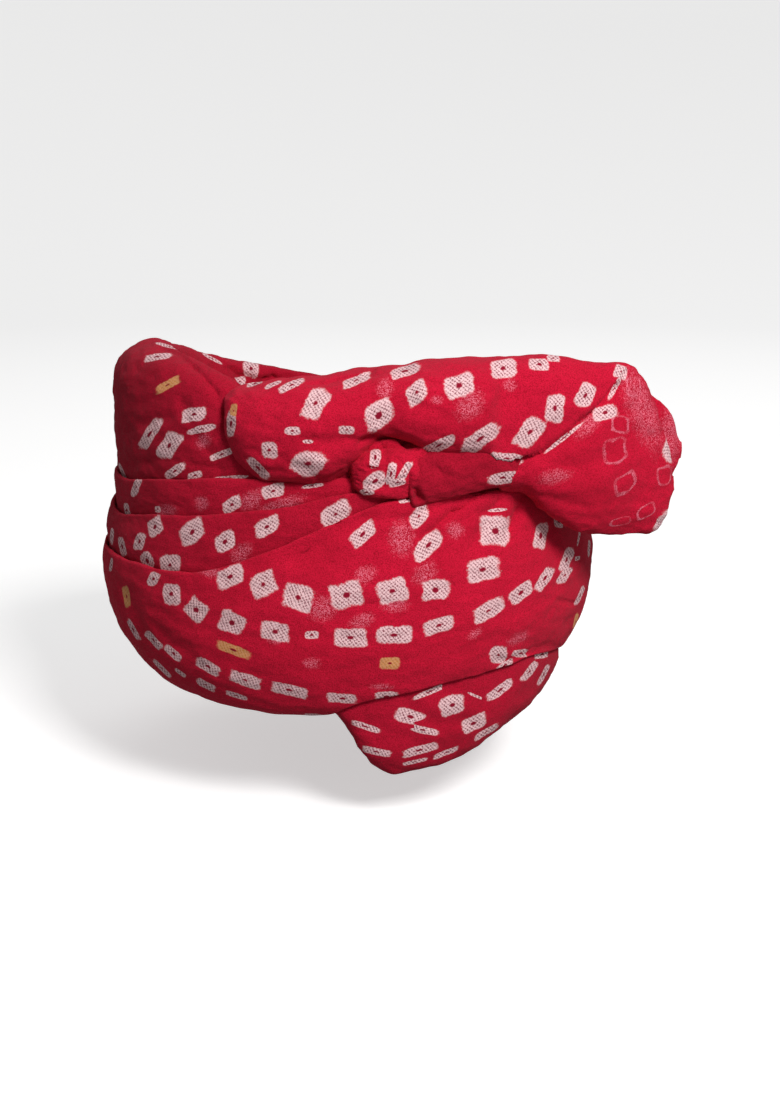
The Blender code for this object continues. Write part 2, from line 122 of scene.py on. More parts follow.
@dataclass(frozen=True)
class Photograph:
    """The photograph's frame and the camera that sees the pagri as it does.

    Attributes:
        width: The frame's width in pixels.
        height: Its height in pixels.
        focal_px: The focal length in pixels.
        pitch_deg: How far the camera looks down.
        distance: How far it stands from the target.
        target: What it looks at.
        chart_corner: The pixel at the corner of the enlarged crop that places were read from.
        chart_zoom: How much that crop was enlarged.
        sensor: The sensor's longer side in millimetres.
    """

    width: int = 780
    height: int = 1108
    focal_px: float = 1923.0
    pitch_deg: float = 15.0
    distance: float = 1.0
    target: Triple = (0.0213, 0.0, -0.0614)
    chart_corner: tuple[int, int] = (95, 325)
    chart_zoom: float = 3.0
    sensor: float = 36.0

    @property
    def forward(self) -> np.ndarray:
        """Unit vector along the camera's view."""
        turn = math.radians(self.pitch_deg)
        return np.array([0.0, math.cos(turn), -math.sin(turn)])

    @property
    def upward(self) -> np.ndarray:
        """Unit vector up in the picture."""
        turn = math.radians(self.pitch_deg)
        return np.array([0.0, math.sin(turn), math.cos(turn)])

    @property
    def eye(self) -> np.ndarray:
        """The camera's place."""
        return np.array(self.target) - self.forward * self.distance

    def place_camera(self) -> None:
        """Adds the camera and makes it the scene's."""
        camera = put_in_scene("camera", bpy.data.cameras.new("camera"))
        camera.location = self.eye
        camera.rotation_euler = (math.radians(90.0 - self.pitch_deg), 0.0, 0.0)
        camera.data.sensor_width = self.sensor
        camera.data.lens = self.focal_px / self.height * self.sensor
        bpy.context.scene.camera = camera

    def pixels(self, points: np.ndarray) -> np.ndarray:
        """Where points show in the photograph.

        Args:
            points: World points, one in each row.

        Returns:
            Pixel x and y, one pair in each row.
        """
        away = points - self.eye
        depth = away @ self.forward
        x = self.width / 2 + self.focal_px * away[:, 0] / depth
        y = self.height / 2 - self.focal_px * (away @ self.upward) / depth
        return np.stack([x, y], axis=1)

    def charted(self, x: float, y: float) -> np.ndarray:
        """Turns a place read from the enlarged crop into a pixel of the photograph."""
        return np.array(self.chart_corner) + np.array([x, y]) / self.chart_zoom

    def ray(self, pixel: np.ndarray) -> np.ndarray:
        """Unit vector from the camera through a pixel."""
        across = (pixel[0] - self.width / 2) / self.focal_px
        rise = (self.height / 2 - pixel[1]) / self.focal_px
        line = self.forward + np.array([across, 0.0, 0.0]) + self.upward * rise
        return line / np.linalg.norm(line)


def cubic(table: tuple, column: int, places: np.ndarray, period: float = 0.0) -> np.ndarray:
    """Reads a table's column along its first column, on a smooth curve with no overshoot.

    Args:
        table: Rows of numbers, rising in the first column.
        column: The column to read.
        places: Places along the first column.
        period: The length after which the table repeats, or 0.

    Returns:
        One value for each place.
    """
    xs = np.array([row[0] for row in table], dtype=float)
    ys = np.array([row[column] for row in table], dtype=float)
    places = np.atleast_1d(np.asarray(places, dtype=float))
    if period:
        places = (places - xs[0]) % period + xs[0]
        xs = np.concatenate(([xs[-1] - period], xs, [xs[0] + period, xs[1] + period]))
        ys = np.concatenate(([ys[-1]], ys, [ys[0], ys[1]]))
    steps = np.diff(xs)
    slopes = np.diff(ys) / steps
    tangents = np.zeros(len(xs))
    product = slopes[:-1] * slopes[1:]
    total = np.where(product > 0, slopes[:-1] + slopes[1:], 1.0)
    tangents[1:-1] = np.where(product > 0, 2 * product / total, 0.0)
    k = np.clip(np.searchsorted(xs, places) - 1, 0, len(steps) - 1)
    s = np.clip((places - xs[k]) / steps[k], 0.0, 1.0)
    return (
        (1 + 2 * s) * (1 - s) ** 2 * ys[k]
        + s * (1 - s) ** 2 * steps[k] * tangents[k]
        + s * s * (3 - 2 * s) * ys[k + 1]
        + s * s * (s - 1) * steps[k] * tangents[k + 1]
    )


def smooth(low: float, high: float, value: np.ndarray) -> np.ndarray:
    """Rises smoothly from 0 at low to 1 at high."""
    s = np.clip((value - low) / (high - low), 0.0, 1.0)
    return s * s * (3 - 2 * s)


def signed_power(wave: np.ndarray, power: float) -> np.ndarray:
    """Raises the size of a wave to a power and keeps its sign, which squares or pinches a round."""
    return np.sign(wave) * np.abs(wave) ** power


def ripple(points: np.ndarray, pitch: float, octaves: int, seed: float) -> np.ndarray:
    """Smooth noise from about -1 to 1 at points.

    Args:
        points: Places, with their three coordinates along the last axis, in metres.
        pitch: The size of the largest ripples, in metres.
        octaves: How many finer layers are added.
        seed: Shifts the pattern.

    Returns:
        One value for each point.
    """
    roughness, fineness = 0.6, 2.0
    shift = Vector((seed, 2.3 * seed, 4.7 * seed))
    flat = points.reshape(-1, 3)
    values = [noise.fractal(Vector(p) / pitch + shift, roughness, fineness, octaves) for p in flat]
    return np.array(values).reshape(points.shape[:-1])


@dataclass(frozen=True)
class Crease:
    """A fold line as it shows in the photograph.

    Attributes:
        path: Places in the enlarged crop, two or more.
        width: How far the fold reaches to each side, in photograph pixels.
        depth: How deep it is in metres; below 0 it stands proud.
        step: From 0, a valley alike on both sides, to 1, a layer lying over the one on its left.
    """

    path: tuple[Pair, ...]
    width: float
    depth: float
    step: float = 0.0


@dataclass(frozen=True)
class Mound:
    """A soft swelling as it shows in the photograph.

    Attributes:
        x: Place in the enlarged crop, to the right.
        y: Place in the enlarged crop, down.
        radius: Its reach in photograph pixels.
        height: Its height in metres, below 0 for a hollow.
    """

    x: float
    y: float
    radius: float
    height: float


class Loft:
    """A closed tube of cloth through sections with as many points each."""

    # The least length that a normal is divided by, where a section has shrunk to a point.
    TINY = 1e-12

    def __init__(self, name: str, points: np.ndarray, ring: bool) -> None:
        """Keeps the tube's points.

        Args:
            name: The piece's name.
            points: Sections by points by coordinates.
            ring: Whether the last section joins the first; otherwise both ends close.
        """
        self.name = name
        self.points = points
        self.ring = ring

    @classmethod
    def turned(cls, name: str, outlines: list[np.ndarray], azimuths: np.ndarray) -> "Loft":
        """Makes a ring of outlines that stand round the head.

        Args:
            name: The piece's name.
            outlines: One outline at each azimuth, as radius and height.
            azimuths: The azimuths in degrees.

        Returns:
            The ring.
        """
        rows = np.array(outlines)
        turns = np.radians(azimuths)[:, None]
        radius, height = rows[:, :, 0], rows[:, :, 1]
        return cls(name, np.stack([radius * np.sin(turns), -radius * np.cos(turns), height], axis=2), True)

    def normals(self) -> np.ndarray:
        """Outward unit normals, one for each point."""
        p = self.points
        across = np.roll(p, -1, axis=1) - np.roll(p, 1, axis=1)
        if self.ring:
            along = np.roll(p, -1, axis=0) - np.roll(p, 1, axis=0)
        else:
            along = np.gradient(p, axis=0)
        normal = np.cross(across, along)
        length = np.linalg.norm(normal, axis=2, keepdims=True)
        normal = normal / np.maximum(length, self.TINY)
        middle = p.mean(axis=1, keepdims=True)
        if np.sum(normal * (p - middle)) < 0:
            normal = -normal
        return normal

    def towards(self, eye: np.ndarray) -> np.ndarray:
        """How squarely each point faces a place, from -1 to 1."""
        view = self.points - eye
        view /= np.linalg.norm(view, axis=2, keepdims=True)
        return -np.sum(self.normals() * view, axis=2)

    def push(self, amount: np.ndarray) -> None:
        """Moves each point along its normal by an amount in metres."""
        self.points = self.points + self.normals() * amount[:, :, None]

    def quads(self) -> np.ndarray:
        """The tube's faces as four point numbers each, in the order that faces them out."""
        sections, sides, _ = self.points.shape
        grid = np.arange(sections * sides).reshape(sections, sides)
        near = grid if self.ring else grid[:-1]
        far = np.roll(grid, -1, axis=0)[: len(near)]
        corners = (near, np.roll(near, -1, axis=1), np.roll(far, -1, axis=1), far)
        faces = np.stack(corners, axis=2).reshape(-1, 4)
        a, b, c, d = np.moveaxis(self.points.reshape(-1, 3)[faces], 1, 0)
        volume = np.sum(np.cross(a, b) * c) + np.sum(np.cross(a, c) * d)
        return faces if volume > 0 else faces[:, ::-1]

    def build(self) -> bpy.types.Object:
        """Makes the mesh.

        Returns:
            The new object, smooth shaded, with its faces pointing out.
        """
        sections, sides, _ = self.points.shape
        quads = self.quads()
        faces = quads.tolist()
        if not self.ring:
            start = list(range(sides))
            end = list(range((sections - 1) * sides, sections * sides))
            onward = quads[0][0] < quads[0][1]
            faces.append(start[::-1] if onward else start)
            faces.append(end if onward else end[::-1])
        data = bpy.data.meshes.new(self.name)
        data.from_pydata(self.points.reshape(-1, 3).tolist(), [], faces)
        data.shade_smooth()
        return put_in_scene(self.name, data)


class Relief:
    """Folds and swellings placed by where they show in the photograph."""

    # How squarely cloth has to face the camera for a fold to begin, and to have its full depth.
    FACING = (0.02, 0.25)
    # How far a fold fades out at its ends, and how far a layer's edge sinks away, over its width.
    END_FADE = 2.5
    UNDER_FADE = 2.5

    def __init__(self, photograph: Photograph) -> None:
        """Keeps the photograph that the places refer to."""
        self.photograph = photograph

    def facing(self, loft: Loft) -> np.ndarray:
        """How squarely each point faces the camera, from 0 to 1."""
        return smooth(*self.FACING, loft.towards(self.photograph.eye))

    def beside(self, pixels: np.ndarray, path: np.ndarray) -> tuple[np.ndarray, np.ndarray]:
        """How pixels lie to a path.

        Args:
            pixels: Places in the photograph, one in each row.
            path: The path's places, one in each row.

        Returns:
            Each pixel's distance from the path, and the side that it lies on, as 1, 0 or -1.
        """
        nearest = np.full(len(pixels), np.inf)
        side = np.ones(len(pixels))
        for start, end in zip(path, path[1:]):
            run = end - start
            share = np.clip((pixels - start) @ run / (run @ run), 0.0, 1.0)
            away = pixels - start - share[:, None] * run
            reach = np.hypot(away[:, 0], away[:, 1])
            turn = run[0] * away[:, 1] - run[1] * away[:, 0]
            side = np.where(reach < nearest, np.sign(turn), side)
            nearest = np.minimum(nearest, reach)
        return nearest, side

    def crease(self, loft: Loft, fold: Crease) -> None:
        """Presses a fold line into a loft."""
        pixels = self.photograph.pixels(loft.points.reshape(-1, 3))
        path = np.array([self.photograph.charted(*place) for place in fold.path])
        nearest, side = self.beside(pixels, path)
        ends = np.minimum(np.hypot(*(pixels - path[0]).T), np.hypot(*(pixels - path[-1]).T))
        fade = smooth(0.0, self.END_FADE * fold.width, ends)
        valley = np.exp(-((nearest / fold.width) ** 2)) * (1 - fold.step)
        under = np.exp(-((nearest / (self.UNDER_FADE * fold.width)) ** 2)) * fold.step
        shape = np.where(side > 0, valley + under, valley) * fade
        loft.push(-fold.depth * shape.reshape(loft.points.shape[:2]) * self.facing(loft))

    def swell(self, loft: Loft, mound: Mound) -> None:
        """Raises a soft mound on a loft."""
        pixels = self.photograph.pixels(loft.points.reshape(-1, 3))
        reach = np.hypot(*(pixels - self.photograph.charted(mound.x, mound.y)).T)
        shape = np.exp(-((reach / mound.radius) ** 2)).reshape(loft.points.shape[:2])
        loft.push(mound.height * shape * self.facing(loft))


class Term:
    """A shader socket that takes part in Python sums."""

    def __init__(self, recipe: "Recipe", socket: bpy.types.NodeSocket) -> None:
        """Keeps the socket and the recipe that it belongs to."""
        self.recipe = recipe
        self.socket = socket

    def _math(self, kind: str, *values: "Term | float") -> "Term":
        """Adds one Math node."""
        return self.recipe.node(
            "ShaderNodeMath", {"operation": kind}, {k: v for k, v in enumerate(values)}
        )

    def __add__(self, other: "Term | float") -> "Term":
        """Sum."""
        return self._math("ADD", self, other)

    def __radd__(self, other: float) -> "Term":
        """Sum with a number on the left."""
        return self._math("ADD", other, self)

    def __sub__(self, other: "Term | float") -> "Term":
        """Difference."""
        return self._math("SUBTRACT", self, other)

    def __rsub__(self, other: float) -> "Term":
        """Difference from a number on the left."""
        return self._math("SUBTRACT", other, self)

    def __mul__(self, other: "Term | float") -> "Term":
        """Product."""
        return self._math("MULTIPLY", self, other)

    def __rmul__(self, other: float) -> "Term":
        """Product with a number on the left."""
        return self._math("MULTIPLY", other, self)

    def __pow__(self, other: "Term | float") -> "Term":
        """Power."""
        return self._math("POWER", self, other)

    def __truediv__(self, other: "Term | float") -> "Term":
        """Quotient."""
        return self._math("DIVIDE", self, other)

    def __rtruediv__(self, other: float) -> "Term":
        """Quotient with a number on the left."""
        return self._math("DIVIDE", other, self)

    def __abs__(self) -> "Term":
        """Size without sign."""
        return self._math("ABSOLUTE", self)

    def sine(self) -> "Term":
        """Sine."""
        return self._math("SINE", self)

    def ramp(self, low: float, high: float) -> "Term":
        """Rises smoothly from 0 at low to 1 at high, or falls where low is the larger."""
        settings = {"interpolation_type": "SMOOTHSTEP"}
        values = {"Value": self, "From Min": low, "From Max": high, "To Min": 0.0, "To Max": 1.0}
        if low > high:
            values.update({"From Min": high, "From Max": low, "To Min": 1.0, "To Max": 0.0})
        return self.recipe.node("ShaderNodeMapRange", settings, values)


class Recipe:
    """A material under construction."""

    def __init__(self, name: str) -> None:
        """Starts a material with a Principled shader."""
        self.material = bpy.data.materials.new(name)
        self.material.use_nodes = True
        self.tree = self.material.node_tree
        self.shader = self.tree.nodes["Principled BSDF"]

    def node(
        self,
        kind: str,
        settings: dict[str, object],
        values: dict[str | int, object],
        output: str | int = 0,
    ) -> Term:
        """Adds a node.

        Args:
            kind: The node's type.
            settings: Its own settings, set first.
            values: Values or terms for its input sockets, by name or number.
            output: The output to return, by name or number.

        Returns:
            The term of that output.
        """
        made = self.tree.nodes.new(kind)
        for key, value in settings.items():
            setattr(made, key, value)
        for key, value in values.items():
            self.plug(made.inputs[key], value)
        return Term(self, made.outputs[output])

    def plug(self, socket: bpy.types.NodeSocket, value: object) -> None:
        """Links a term to a socket, or sets the socket to a plain value."""
        if isinstance(value, Term):
            self.tree.links.new(value.socket, socket)
        else:
            socket.default_value = value

    def stored(self, name: str) -> list[Term]:
        """The three parts of a vector that is stored on the mesh."""
        vector = self.node("ShaderNodeAttribute", {"attribute_name": name}, {}, "Vector")
        return [self.node("ShaderNodeSeparateXYZ", {}, {0: vector}, part) for part in ("X", "Y", "Z")]

    def blend(self, share: Term, low: object, high: object) -> Term:
        """Mixes two colours by a share."""
        colours = {"Factor": share, 6: low, 7: high}
        return self.node("ShaderNodeMix", {"data_type": "RGBA"}, colours, 2)

    def grain(self, place: Term, pitch: float, detail: float = 2.0) -> Term:
        """Noise from 0 to 1 with grains of a pitch in metres."""
        values = {"Vector": place, "Scale": 1.0 / pitch, "Detail": detail, "Roughness": 0.6}
        return self.node("ShaderNodeTexNoise", {}, values, "Fac")

    def bump(self, strength: float, distance: float, height: Term, under: Term | None = None) -> Term:
        """Bends the surface's normal by a height.

        Args:
            strength: How strongly, from 0 to 1.
            distance: How deep a height of 1 is, in metres.
            height: The height.
            under: A normal that is already bent.

        Returns:
            The bent normal.
        """
        values = {"Strength": strength, "Distance": distance, "Height": height}
        if under is not None:
            values["Normal"] = under
        return self.node("ShaderNodeBump", {}, values)

    def feed(self, name: str, value: object) -> None:
        """Sets or links one of the shader's sockets."""
        self.plug(self.shader.inputs[name], value)


class Weave:
    """A cloth's noises, and the spots that Spots.mark stored on it, as terms."""

    def __init__(self, mix: Recipe, georgette: "Georgette") -> None:
        """Adds the nodes.

        Args:
            mix: The material under construction.
            georgette: The cloth, which says how coarse its noises are.
        """
        place = mix.node("ShaderNodeTexCoord", {}, {}, "Object")
        self.along, self.across, self.spread = mix.stored("spot")
        self.power, self.wide, self.tall = mix.stored("form")
        self.tint, self.haze, self.ring = mix.stored("dye")
        self.grain = mix.grain(place, georgette.grain_pitch)
        self.fine = mix.grain(place, georgette.fine_pitch)
        self.blotch = mix.grain(place, georgette.blotch_pitch)
        self.rumple = mix.grain(place, georgette.rumple_pitch)
        # A noise runs from 0 to 1, so these three go both ways.
        self.fray = mix.grain(place, georgette.fray_pitch, detail=3.0) - 0.5
        self.swerve = mix.grain(place, georgette.swerve_pitch, detail=0.0) - 0.5
        self.speck = self.grain - 0.5
        total = abs(self.along) ** self.power + abs(self.across) ** self.power
        self.reach = total ** (1.0 / self.power)


@dataclass(frozen=True)
class Georgette:
    """Crimson tie-dyed georgette: a matt crinkled weave with tied spots left undyed.

    Pitches are in metres. A fade is a pair of places over a spot's half size, or of noise values,
    between which a mask rises or falls. The swerve, the fray and the speck of an outline say how far
    the middle, small and fine noises move it.

    Attributes:
        name: The material's name.
        strength: How much of the red's full brightness a piece has; below 1 it is partly the piece's own
            tone and partly painted shade, most of all on the crest and the pocket fold.
    """

    name: str
    strength: float = 1.0
    red: Triple = (0.60, 0.006, 0.036)
    deep: Triple = (0.36, 0.002, 0.016)
    white: Triple = (0.88, 0.60, 0.62)
    thread: Triple = (0.20, 0.05, 0.07)
    pupil: Triple = (0.16, 0.003, 0.020)
    yellow: Triple = (0.66, 0.28, 0.05)
    ghost: Triple = (0.74, 0.20, 0.28)
    sheen_tint: Triple = (1.0, 0.35, 0.42)

    grain_pitch: float = 0.0005
    fine_pitch: float = 0.0003
    fray_pitch: float = 0.0015
    swerve_pitch: float = 0.0055
    rumple_pitch: float = 0.011
    blotch_pitch: float = 0.034
    thread_pitch: float = 0.00135

    edge_swerve: float = 0.38
    edge_fray: float = 0.34
    edge_speck: float = 0.22
    edge_fade: Pair = (1.10, 0.88)
    limit_fray: float = 0.30
    limit_fade: Pair = (1.06, 0.94)
    eye_swerve: float = 0.30
    eye_fray: float = 0.20
    eye_fade: Pair = (0.2795, 0.1505)
    eye_depth: float = 0.7

    # Directions of the two sets of threads over a spot's width and height, and how each shows.
    warp: Pair = (0.78, 0.62)
    weft: Pair = (-0.55, 0.90)
    thread_wander: float = 6.0
    thread_shares: Triple = (0.45, 0.30, 3.6)
    thread_fade: Pair = (-0.30, 0.80)
    frame_fade: Pair = (1.0, 0.70)
    frame_shares: Pair = (0.50, 0.48)

    # A faded spot's ring: its place, how thin it is, and where it is broken.
    ring_swerve: float = 0.50
    ring_fray: float = 0.20
    ring_place: float = 0.92
    ring_thinness: float = 7.0
    ring_fade: Pair = (1.0, 0.2)
    ring_grain: Pair = (0.35, 0.60)
    ring_break: Pair = (-0.16, 0.02)
    ring_shares: Pair = (0.6, 0.4)
    ring_depth: float = 0.8

    haze_fray: float = 1.2
    haze_fade: Pair = (1.15, 0.35)
    haze_grain: Pair = (0.47, 0.58)
    haze_depth: float = 0.75
    deep_grain: Pair = (0.36, 0.56)
    blotch_fade: Pair = (0.40, 0.75)
    blotch_depth: float = 0.35
    yellow_depth: float = 0.82
    bare_shares: Pair = (0.93, 0.4)

    roughness: float = 0.88
    sheen: float = 0.05
    sheen_roughness: float = 0.5
    specular: float = 0.12
    crinkle: float = 0.60
    crinkle_depth: float = 0.0007
    fine_share: float = 0.6
    thread_share: float = -0.4
    rumple: float = 0.35
    rumple_depth: float = 0.003

    def spots(self, weave: Weave) -> tuple[Term, Term]:
        """Masks the tied spots.

        Args:
            weave: The cloth's noises and stored spots.

        Returns:
            Where the cloth is undyed, and where a spot's dark eye is.
        """
        edge = weave.reach + weave.swerve * self.edge_swerve
        edge = edge + weave.fray * self.edge_fray + weave.speck * self.edge_speck
        limit = weave.spread + weave.fray * self.limit_fray
        spot = edge.ramp(*self.edge_fade) * limit.ramp(*self.limit_fade)
        centre = (weave.along * weave.along + weave.across * weave.across) ** 0.5
        centre = centre + weave.fray * self.eye_fray + weave.swerve * self.eye_swerve
        eye = centre.ramp(*self.eye_fade) * spot
        return spot * (1.0 - eye), eye

    def threads(self, weave: Weave) -> Term:
        """The crossed threads that show where the cloth is undyed."""
        turns = 2 * math.pi / self.thread_pitch
        side, rise = weave.along * weave.wide, weave.across * weave.tall
        waves = [
            (side * (run[0] * turns) + rise * (run[1] * turns) + wander * self.thread_wander).sine() * share
            for run, wander, share in (
                (self.warp, weave.fray, self.thread_shares[0]),
                (self.weft, weave.speck, self.thread_shares[1]),
            )
        ]
        return (waves[0] + waves[1] + weave.speck * self.thread_shares[2]).ramp(*self.thread_fade)

    def rings(self, weave: Weave) -> Term:
        """The broken outlines of the faded spots."""
        place = weave.ring + weave.swerve * self.ring_swerve + weave.fray * self.ring_fray
        line = (place - self.ring_place) * self.ring_thinness
        broken = weave.swerve.ramp(*self.ring_break) * self.ring_shares[0] + self.ring_shares[1]
        grain = weave.grain.ramp(*self.ring_grain)
        return (line * line).ramp(*self.ring_fade) * grain * broken * self.ring_depth

    def dyed(self, mix: Recipe, weave: Weave, eye: Term, rings: Term) -> Term:
        """The dyed cloth's colour.

        Args:
            mix: The material under construction.
            weave: The cloth's noises and stored spots.
            eye: Where a spot's dark eye is.
            rings: Where a faded spot's outline is.

        Returns:
            The colour.
        """
        # The piece's strength darkens the red and the deep red: partly its own tone, partly painted shade.
        red = (*(self.strength * channel for channel in self.red), 1.0)
        deep = (*(self.strength * channel for channel in self.deep), 1.0)
        ghost = (*self.ghost, 1.0)
        haze = (weave.haze + weave.fray * self.haze_fray).ramp(*self.haze_fade)
        stipple = haze * weave.grain.ramp(*self.haze_grain) * self.haze_depth
        cloth = mix.blend(weave.grain.ramp(*self.deep_grain), deep, red)
        cloth = mix.blend(weave.blotch.ramp(*self.blotch_fade) * self.blotch_depth, cloth, deep)
        cloth = mix.blend(eye * self.eye_depth, cloth, (*self.pupil, 1.0))
        cloth = mix.blend(rings, cloth, ghost)
        return mix.blend(stipple, cloth, ghost)

    def bare(self, mix: Recipe, weave: Weave, threads: Term) -> Term:
        """The undyed cloth's colour, with its threads weaker towards a spot's rim.

        Args:
            mix: The material under construction.
            weave: The cloth's noises and stored spots.
            threads: Where the crossed threads show.

        Returns:
            The colour.
        """
        framed = weave.reach.ramp(*self.frame_fade) * self.frame_shares[1] + self.frame_shares[0]
        bare = mix.blend(threads * framed, (*self.white, 1.0), (*self.thread, 1.0))
        return mix.blend(weave.tint * self.yellow_depth, bare, (*self.yellow, 1.0))

    def make(self) -> bpy.types.Material:
        """Builds the material.

        Returns:
            The finished material.
        """
        mix = Recipe(self.name)
        weave = Weave(mix, self)
        undyed, eye = self.spots(weave)
        threads = self.threads(weave)
        rings = self.rings(weave)
        share = undyed * (self.bare_shares[0] - rings * self.bare_shares[1])
        colour = mix.blend(share, self.dyed(mix, weave, eye, rings), self.bare(mix, weave, threads))
        height = weave.grain + weave.fine * self.fine_share + threads * undyed * self.thread_share
        rumpled = mix.bump(self.rumple, self.rumple_depth, weave.rumple)
        mix.feed("Base Color", colour)
        mix.feed("Normal", mix.bump(self.crinkle, self.crinkle_depth, height, rumpled))
        mix.feed("Roughness", self.roughness)
        mix.feed("Sheen Weight", self.sheen)
        mix.feed("Sheen Roughness", self.sheen_roughness)
        mix.feed("Sheen Tint", (*self.sheen_tint, 1.0))
        mix.feed("Specular IOR Level", self.specular)
        return mix.material


@dataclass
class Spot:
    """One tied spot.

    Attributes:
        centre: Its centre on the cloth.
        normal: The cloth's outward normal there.
        along: What a place is multiplied by for its distance along the spot's width.
        across: The same for its height.
        half: Half its width and height in metres.
        power: How square it is: 1 is a diamond, 2 an oval, 4 nearly a square.
        dye: What it took up.
    """

    centre: np.ndarray
    normal: np.ndarray
    along: np.ndarray
    across: np.ndarray
    half: Pair
    power: float
    dye: Dye = Dye.WHITE


@dataclass(frozen=True)
class WrapFaces:
    """How finely the wraps are modelled: sections round the head, and rows on each wrap's face."""

    sections: int = 600
    first_turn: int = 44
    belly_wrap: int = 96
    middle_wrap: int = 34
    upper_wrap: int = 30
    crest_wrap: int = 80


class BodyLine:
    """The body's outer line at one azimuth, from the rim below the belly to the crest's inner edge."""

    def __init__(self, points: np.ndarray) -> None:
        """Keeps the line's points, as radius and height, and works out its length and slopes."""
        self.points = points
        self.arc = np.concatenate(([0.0], np.cumsum(np.hypot(*np.diff(points, axis=0).T))))
        slopes = np.gradient(points, self.arc, axis=0)
        self.slopes = slopes / np.hypot(slopes[:, 0], slopes[:, 1])[:, None]

    def climb(self, height: float) -> float:
        """Distance along the line at which it reaches a height, between its widest and highest places."""
        rise = slice(int(np.argmax(self.points[:, 0])), int(np.argmax(self.points[:, 1])) + 1)
        return float(np.interp(height, self.points[rise, 1], self.arc[rise]))

    def read(self, values: np.ndarray, at: np.ndarray) -> np.ndarray:
        """Reads the line's points or slopes at distances along it."""
        return np.stack([np.interp(at, self.arc, values[:, k]) for k in (0, 1)], axis=1)

    def below(self, at: np.ndarray | float, depth: np.ndarray | float) -> np.ndarray:
        """Points below the surface.

        Args:
            at: Distances along the line.
            depth: How deep each point lies, in metres.

        Returns:
            The points as radius and height.
        """
        at = np.atleast_1d(at)
        base = self.read(self.points, at)
        slope = self.read(self.slopes, at)
        return base - np.stack([slope[:, 1], -slope[:, 0]], axis=1) * np.reshape(depth, (-1, 1))


